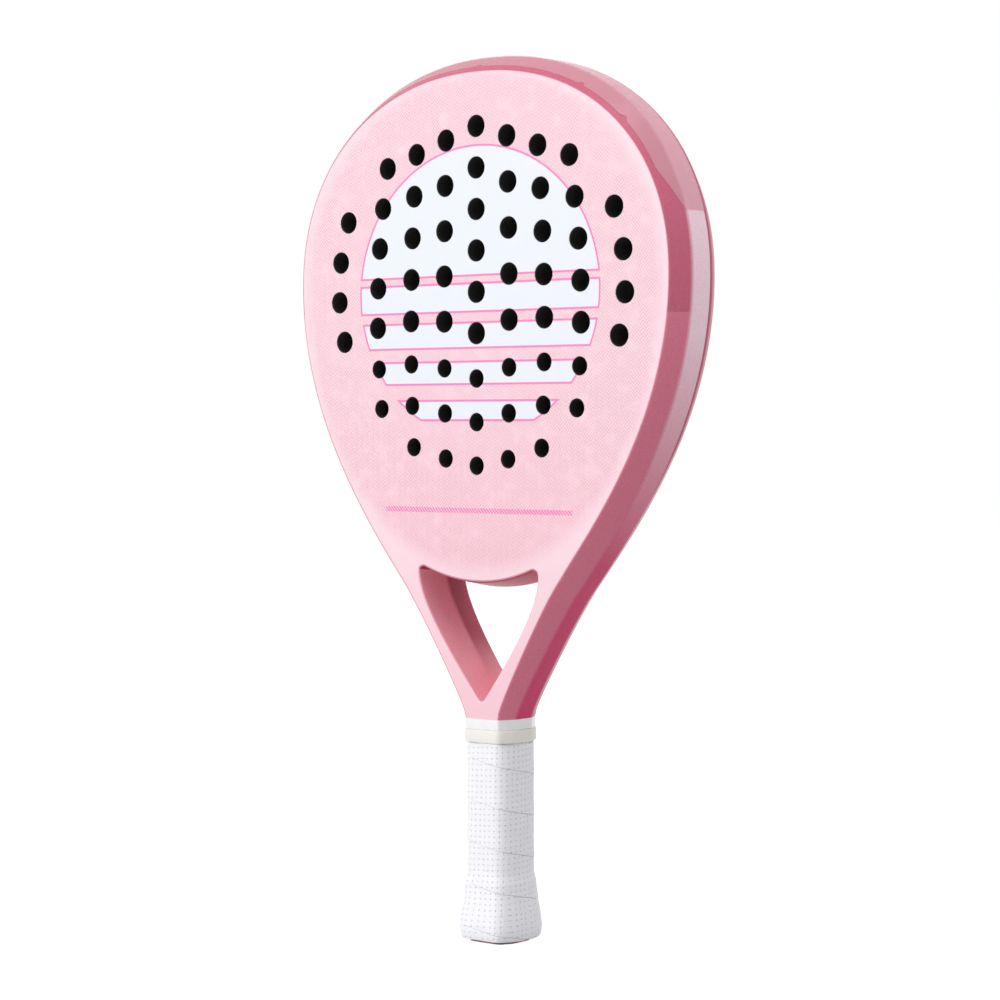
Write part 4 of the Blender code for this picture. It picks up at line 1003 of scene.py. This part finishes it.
def ring_parts():
    """The sharp ring, and how its points move per metre of inset and per metre of corner cut."""
    corner = octagon(0.0)
    back = np.roll(corner, 1, axis=0) - corner
    ahead = np.roll(corner, -1, axis=0) - corner
    back /= np.linalg.norm(back, axis=1)[:, None]
    ahead /= np.linalg.norm(ahead, axis=1)[:, None]
    share = np.linspace(0, 1, ROUND_STEPS)[:, None]
    per_cut = (1 - share) ** 2 * back[:, None] + share**2 * ahead[:, None]
    per_inset = octagon(1.0) - corner
    repeated = np.repeat(corner, ROUND_STEPS, axis=0)
    return repeated, np.repeat(per_inset, ROUND_STEPS, axis=0), per_cut.reshape(-1, 2)


RING_CORNER, RING_INSET, RING_CUT = ring_parts()
RING_POINTS = len(RING_CORNER)


def handle_rings(profile):
    """Rings for a profile of rows (inset, height, corner cut)."""
    inset, height, cut = np.asarray(profile, float).T[:, :, None, None]
    flat = RING_CORNER + RING_INSET * inset + RING_CUT * cut
    return np.concatenate([flat, np.broadcast_to(height, (*flat.shape[:2], 1))], axis=2)


def quarter_turn(start, end, out):
    """Inset and height round an edge of a profile, from start to end, as a quarter of an ellipse. It sets off
    along the inset where the edge turns out, and along the height where it turns in."""
    angle = np.linspace(0, math.pi / 2, EDGE_STEPS)
    first, last = (np.sin(angle), 1 - np.cos(angle)) if out else (1 - np.cos(angle), np.sin(angle))
    return pair(start[0] + (end[0] - start[0]) * first, start[1] + (end[1] - start[1]) * last)


def with_cut(points, cut):
    """A corner cut added to rows of inset and height."""
    return np.column_stack([points, np.full(len(points), cut)])


print("ring points:", RING_POINTS)

# %% [markdown]
# ## Band, collar and cap
# A white painted sleeve shows as a narrow crisp band under the arms. Below it an ivory rubber collar with
# rounded edges covers the end of the grip tape. At the bottom, the moulded butt cap flares out under the tape
# and shows as a thin dark line, with the bore for a cord in its end. Each could be a bevelled block, but as a
# profile of a few points its edges can be as crisp or as soft as paint, rubber or plastic makes them.

# %% Sleeve with its white band
GRIP_RECESS = 0.003
SLEEVE_WALL = 0.001
BAND_CUT = 0.0009
BAND_EDGE = 0.0004
GRAIN_SPREAD = (0.35, 0.65)
GRAIN_RELIEF = 0.4
SLEEVE_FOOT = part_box("handle_sleeve")[0][2]
COLLAR_LOW, COLLAR_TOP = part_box("grip_collar")[0][2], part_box("grip_collar")[1][2]
BAND_FOOT = COLLAR_TOP


def speckled(name, colour, other, roughness, grain_mm, bump_mm, **sockets):
    """Paint, rubber or moulded plastic: two near shades and a fine pebble at one grain size."""
    finish, tree, shader = new_finish(name, colour, roughness, **sockets)
    point = object_point(tree)[0]
    grain = add(tree, "TexNoise", Vector=point, Scale=1000 / grain_mm, Detail=3.0)
    share = add(tree, "MapRange", grain, *GRAIN_SPREAD)
    shades = add(tree, "Mix", share, colour, other, data_type="RGBA")
    tree.links.new(shades, shader.inputs["Base Color"])
    dents = add(tree, "Bump", Height=grain, Strength=GRAIN_RELIEF, Distance=bump_mm / 1000)
    tree.links.new(dents, shader.inputs["Normal"])
    return finish


# Gloss white paint: smooth, with the faint ripple of a sprayed coat
white_paint = speckled("sprayed_white_paint", "#F8F7F9", "#F4F4F6", roughness=0.3, grain_mm=4.0, bump_mm=0.02,
                       Coat_Weight=0.3)
sleeve_bore = GRIP_RECESS + SLEEVE_WALL
band_rows = np.concatenate([
    [(SLEEVE_WALL, BAND_TOP), (0, BAND_TOP)],
    quarter_turn((0, BAND_FOOT + BAND_EDGE), (BAND_EDGE, BAND_FOOT), False),
    [(GRIP_RECESS, BAND_FOOT), (GRIP_RECESS, SLEEVE_FOOT)],
    [(sleeve_bore, SLEEVE_FOOT), (sleeve_bore, BAND_FOOT + SLEEVE_WALL)],
])
band = handle_rings(with_cut(band_rows, BAND_CUT))
band_faces = grid_faces(len(band), RING_POINTS, close_rows=True)
make_piece("white_sleeve", band, band_faces, white_paint, ["handle_sleeve"], crease=30)

# %% Rubber collar
COLLAR_PROUD = 0.0007
COLLAR_EDGE = 0.0005
COLLAR_CUT = 0.0026
COLLAR_BORE = 0.0013

# Moulded rubber: warm ivory, soft sheen, very fine pebble
ivory = speckled("moulded_ivory_rubber", "#F4F2EC", "#EFEDE6", roughness=0.5, grain_mm=0.6, bump_mm=0.03)
collar_lip = COLLAR_EDGE - COLLAR_PROUD
collar_outside = np.concatenate([
    quarter_turn((collar_lip, COLLAR_TOP), (-COLLAR_PROUD, COLLAR_TOP - COLLAR_EDGE), True),
    quarter_turn((-COLLAR_PROUD, COLLAR_LOW + COLLAR_EDGE), (collar_lip, COLLAR_LOW), False),
])
collar_inside = np.array([(COLLAR_BORE, COLLAR_LOW), (COLLAR_BORE, COLLAR_TOP)])
collar_rows = np.concatenate([with_cut(collar_outside, COLLAR_CUT), with_cut(collar_inside, BAND_CUT)])
collar = handle_rings(collar_rows)
collar_faces = grid_faces(len(collar), RING_POINTS, close_rows=True)
make_piece("rubber_collar", collar, collar_faces, ivory, ["grip_collar"], crease=50)

# %% Butt cap
CAP_LIP = 0.0005
CAP_FLARE = 0.0030
CAP_WIDEST = 0.0075
CAP_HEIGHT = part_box("butt_cap")[1][2]
CAP_FLOOR = 0.004
CAP_EDGE = 0.003
CAP_EDGE_TURN = 0.96
CORD_HOLE = 0.006
CAP_SOCKET = GRIP_RECESS - GLUE
FLARE_STEPS = 12
UNDER_STEPS = 9


def cap_proud(height):
    """How far the cap stands out: a smooth flare from its lip to its widest, then an elliptic round
    underneath."""
    flare = CAP_LIP + (CAP_FLARE - CAP_LIP) * (1 - ease(height, CAP_WIDEST, CAP_HEIGHT))
    under = np.clip((CAP_WIDEST - height) / CAP_WIDEST, 0, 1)
    return flare - CAP_EDGE * (1 - np.sqrt(1 - CAP_EDGE_TURN * under**2))


# Moulded plastic: dark red, satin, with a spark-eroded grain
cap_plastic = speckled("moulded_red_plastic", "#7E2036", "#741A30", roughness=0.4, grain_mm=0.5, bump_mm=0.03)
under_angle = np.linspace(0, math.pi / 2, UNDER_STEPS)[1:]
flare_heights = np.linspace(CAP_HEIGHT, CAP_WIDEST, FLARE_STEPS)
cap_heights = np.append(flare_heights, CAP_WIDEST * (1 - np.sin(under_angle)))
cap_outside = handle_rings(with_cut(pair(CAP_SOCKET - cap_proud(cap_heights), cap_heights), COLLAR_CUT))
bore_angle = np.arctan2(cap_outside[0, :, 1], cap_outside[0, :, 0])
bore = CORD_HOLE / 2 * np.stack([np.cos(bore_angle), np.sin(bore_angle), 0 * bore_angle], axis=1)
cap_inside = handle_rings([(CAP_SOCKET, CAP_FLOOR, BAND_CUT), (CAP_SOCKET, CAP_HEIGHT, BAND_CUT)])
cap = np.concatenate([cap_outside, [bore, bore + [0, 0, CAP_FLOOR]], cap_inside])
cap_faces = grid_faces(len(cap), RING_POINTS, close_rows=True)
make_piece("cord_bore_cap", cap, cap_faces, cap_plastic, ["butt_cap"], crease=35)

# %% [markdown]
# ## The wound grip
# A strip of white leatherette is wound up the handle, so its edges draw thin lines that fall to the right.
# Painted lines could stand for them, but only real edges catch the light. It is one ribbon: a section across
# the strip, with rounded edges, carried round the octagon while it climbs by one pitch a turn. The strip is
# pared thin under the collar and rides out over the butt cap. Its dimples are too small for the mesh, so the
# ribbon stores how far along the strip each point lies and the finish sinks them there.

# %% Leatherette
GRIP_WHITE = "#F8F8FD"
GRIP_SHADE = "#DCDCE6"
DIMPLE_GAP_MM = (3.05, 2.85)
# Radius of a dimple at its mouth and at its floor
DIMPLE_RADII_MM = (0.5, 0.1)
DIMPLE_DEPTH = 0.00045
# Share of painted shade in each dimple
DIMPLE_SHADE_SHARE = 0.2
ROW_LEAN = math.tan(math.radians(3))
GRAIN_MM = 0.55
GRAIN_SHARE = 0.08
LEATHER_RELIEF = 0.9


def leatherette():
    """Coated cloth embossed with rows of dimples: matt white, soft, and a touch of painted shade in each
    dimple.
    """
    finish, tree, shader = new_finish("embossed_white_leatherette", GRIP_WHITE, roughness=0.55)
    strip = add(tree, "Attribute", attribute_name="strip").node.outputs["Vector"]
    place = add(tree, "SeparateXYZ", strip).node
    along, across = place.outputs["X"], place.outputs["Y"]
    row = add(tree, "Math MULTIPLY_ADD", along, ROW_LEAN, across)
    squares = []
    for value, gap in ((along, DIMPLE_GAP_MM[0]), (row, DIMPLE_GAP_MM[1])):
        part = add(tree, "Math FRACT", add(tree, "Math MULTIPLY", value, 1000 / gap))
        from_middle = add(tree, "Math MULTIPLY", add(tree, "Math SUBTRACT", part, 0.5), gap)
        squares.append(add(tree, "Math POWER", from_middle, 2.0))
    radius = add(tree, "Math SQRT", add(tree, "Math ADD", *squares))
    dimple = add(tree, "MapRange", radius, *DIMPLE_RADII_MM)
    # Painted shade in the dimples
    tint = add(tree, "Math MULTIPLY", dimple, DIMPLE_SHADE_SHARE)
    shades = add(tree, "Mix", tint, GRIP_WHITE, GRIP_SHADE, data_type="RGBA")
    tree.links.new(shades, shader.inputs["Base Color"])
    point = object_point(tree)[0]
    grain = add(tree, "TexNoise", Vector=point, Scale=1000 / GRAIN_MM, Detail=2.0)
    height = add(tree, "Math SUBTRACT", add(tree, "Math MULTIPLY", grain, GRAIN_SHARE), dimple)
    bump = add(tree, "Bump", Height=height, Strength=LEATHER_RELIEF, Distance=DIMPLE_DEPTH)
    tree.links.new(bump, shader.inputs["Normal"])
    return finish


grip_finish = leatherette()
print("grip finish:", grip_finish.name)

# %% Ribbon of the grip
TAPE_LOW = 0.0018
TAPE_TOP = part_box("grip_tape")[1][2]
TAPE_PITCH = 0.0216
TAPE_PHASE = 0.48
TAPE_SEAM = 0.00005
TAPE_EDGE = 0.0004
TAPE_LAP = 0.00022
TAPE_THICKNESS = 0.0026
TAPE_SKIVED = 0.0007
TAPE_OVER_CAP = 0.0006
TAPE_RIDE = 0.006
TAPE_CUT = 0.0048
SKIVE_LENGTH = 0.0006
TAPE_ROWS = 34
ROW_CROWDING = 0.12


def tape_inset(height):
    """Inset of the tape's inner face: on the sleeve, and out over the cap below its lip."""
    over_cap = CAP_SOCKET - cap_proud(height) - TAPE_OVER_CAP
    ride = 1 - ease(height, CAP_HEIGHT, CAP_HEIGHT + TAPE_RIDE)
    return CAP_SOCKET + (over_cap - CAP_SOCKET) * ride


def wound_ribbon():
    """Sections of the ribbon, station by station, and the place of each point on the strip. A station's upper
    edge is pitch x (turns - phase) above the foot and its lower edge one pitch less a seam below that, both
    held to the grip's ends. The ring is walked clockwise, so the edges fall to the right on the front."""
    ring = RING_CORNER + RING_CUT * TAPE_CUT
    length = np.linalg.norm(np.roll(ring, -1, axis=0) - ring, axis=1)
    run = np.append(0, np.cumsum(length)[:-1])
    turns = (TAPE_TOP - TAPE_LOW) / TAPE_PITCH + 1
    step = np.arange(int((turns + 2) * RING_POINTS))
    turned = step // RING_POINTS + run[step % RING_POINTS] / length.sum()
    edge = TAPE_LOW + TAPE_PITCH * (turned - TAPE_PHASE)
    low = np.clip(edge - TAPE_PITCH + TAPE_SEAM, TAPE_LOW, None)
    high = np.clip(edge, None, TAPE_TOP)
    wide = high - low > TAPE_EDGE
    step, turned, low, high = step[wide], turned[wide], low[wide, None], high[wide, None]
    share = np.linspace(0, 1, TAPE_ROWS)
    share = share - ROW_CROWDING * np.sin(2 * math.pi * share)
    height = low + (high - low) * share
    to_edge = np.minimum(height - low, high - height)
    drop = TAPE_EDGE * (1 - np.sqrt(1 - np.clip(1 - to_edge / TAPE_EDGE, 0, 1) ** 2))
    lap = TAPE_LAP * (1 - ease(height - low, 0, TAPE_PITCH / 2))
    pared = ease(height, COLLAR_LOW - SKIVE_LENGTH, COLLAR_LOW)
    thick = TAPE_THICKNESS - (TAPE_THICKNESS - TAPE_SKIVED) * pared
    inner = tape_inset(height)
    outer = inner - thick - (lap - drop) * (1 - pared)
    cut = BAND_CUT + (TAPE_CUT - BAND_CUT) * (1 - pared)
    spot = step % RING_POINTS
    corner, per_inset, per_cut = (part[spot, None] for part in (RING_CORNER, RING_INSET, RING_CUT))
    over = corner + per_inset * outer[..., None] + per_cut * cut[..., None]
    under = corner + per_inset * inner[..., None] + per_cut * BAND_CUT
    outside = np.concatenate([over, height[..., None]], axis=2)
    inside = np.concatenate([under, height[..., None]], axis=2)[:, ::-1]
    sections = np.concatenate([outside, inside], axis=1) * np.array([-1, 1, 1])
    along = np.broadcast_to((turned * length.sum())[:, None], height.shape)
    strip = np.stack([along, height, 0 * height], axis=2)
    return sections, np.concatenate([strip, strip[:, ::-1]], axis=1)


ribbon, strip = wound_ribbon()
ribbon_faces = grid_faces(*ribbon.shape[:2]) + end_faces(*ribbon.shape[:2])
make_piece("wound_grip", ribbon, ribbon_faces, grip_finish, ["grip_tape"],
           {"strip": strip.reshape(-1, 3)}, crease=60)

# %% [markdown]
# ## Clear film on the rim
# A strip of clear polyurethane film guards the top of the rim against the court. It wraps the side and the
# front chamfer, with small V cuts along its edge so that it can follow the bend, and its ends run out to a
# point on the flat. It could be a copy of the rim's faces made solid, but its cuts need finer steps than the
# rim has. So it is a thin shell of its own, carried along the outline a hair above the paint.

# %% Film over the top of the rim
FILM_LIFT = 0.00005
FILM = 0.0003
FILM_END = LENGTH - 0.0835
FILM_TAPER = 0.022
FILM_SHARE = 0.74
FILM_STEP = 0.0007
NOTCHES = (0.0, 0.068, 0.0955)
NOTCH_HALF = 0.0022
NOTCH_SHARE = 0.16
END_POWER = 0.8
LEAST_SHARE = 0.05
RIPPLE_PER_METRE = 90.0
RIPPLE_RELIEF = 0.05
RIPPLE_DEPTH = 0.0005


def clear_film():
    """Thin clear film: it lets the paint through, adds a milky veil, and shines."""
    finish, tree, shader = new_finish("clear_polyurethane_film", "#F6BCC9", roughness=0.15, Alpha=0.38,
                                      Specular_IOR_Level=0.25)
    point = object_point(tree)[0]
    ripple = add(tree, "TexNoise", Vector=point, Scale=RIPPLE_PER_METRE, Detail=1.0)
    bump = add(tree, "Bump", Height=ripple, Strength=RIPPLE_RELIEF, Distance=RIPPLE_DEPTH)
    tree.links.new(bump, shader.inputs["Normal"])
    return finish


def film_share(place):
    """How much of a chamfer the film covers: a power curve at its ends, less a V at each notch."""
    x, z = outline(place).T
    share = FILM_SHARE * np.clip((z - FILM_END) / FILM_TAPER, 0, 1) ** END_POWER
    gap = np.abs(np.abs(x)[:, None] - np.array(NOTCHES)).min(axis=1)
    return np.clip(share - NOTCH_SHARE * np.clip(1 - gap / NOTCH_HALF, 0, 1), LEAST_SHARE, 1)


def film_layer(place, lift):
    """The film's section at a lift above the rim, from the front chamfer over the flat side to the rear
    strip."""
    chamfer = chamfer_width(place)
    flat = flat_half(place)
    depth = HALF_DEPTH - flat
    slant = np.hypot(chamfer, depth)
    share = film_share(place)
    edge = pair(share * chamfer - lift * depth / slant, flat + share * depth + lift * chamfer / slant)
    bend = pair(-lift, flat + lift * (slant - depth) / chamfer)
    rear_bend = bend * np.array([1, -1])
    end = pair(np.full_like(flat, -lift), -REAR_STRIP)
    return np.concatenate([edge[:, None], rounded(edge, bend, rear_bend, SIDE_EDGE), end[:, None]], axis=1)


fine_places = np.linspace(0, 1, FINE_STEPS)
film_last = np.interp(-FILM_END, -outline(fine_places)[:, 1], fine_places)
film_places = even_places(0, film_last, FILM_STEP)
film_section = np.concatenate([film_layer(film_places, FILM_LIFT),
                               film_layer(film_places, FILM_LIFT + FILM)[:, ::-1]], axis=1)
film = both_sides(carried(outline(film_places), inward(film_places), film_section))
film_faces = grid_faces(*film.shape[:2]) + end_faces(*film.shape[:2])
make_piece("rim_film", film, film_faces, clear_film(), ["head_protector"], crease=60)

# %% [markdown]
# ## Pieces inside
# Foam plugs, the tacks of the butt cap and the tape under the collar stay as the CAD has them, because
# nothing shows of their shape. They still get the finish of their own material, for whoever takes the racket
# apart.

# %% Finishes of the hidden CAD pieces
pale_foam = foam_finish("rigid_polyurethane_foam", "#D9CBA6", "#E6DCBF", grain_mm=1.2)
steel = speckled("bright_tack_steel", "#9C9EA2", "#8E9094", roughness=0.3, grain_mm=1.5, bump_mm=0.01,
                 Metallic=1.0)
adhesive = speckled("finishing_tape_film", "#DADADC", "#D2D2D6", roughness=0.45, grain_mm=2.0, bump_mm=0.02)
INSIDE = {
    "bridge_foam": pale_foam, "handle_foam_left": pale_foam, "handle_foam_right": pale_foam,
    "butt_cap_tack_left": steel, "butt_cap_tack_right": steel, "finishing_tape": adhesive,
}
for node, finish in INSIDE.items():
    node_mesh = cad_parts[node].data
    node_mesh.materials.clear()
    node_mesh.materials.append(finish)
print("hidden pieces finished:", len(INSIDE))
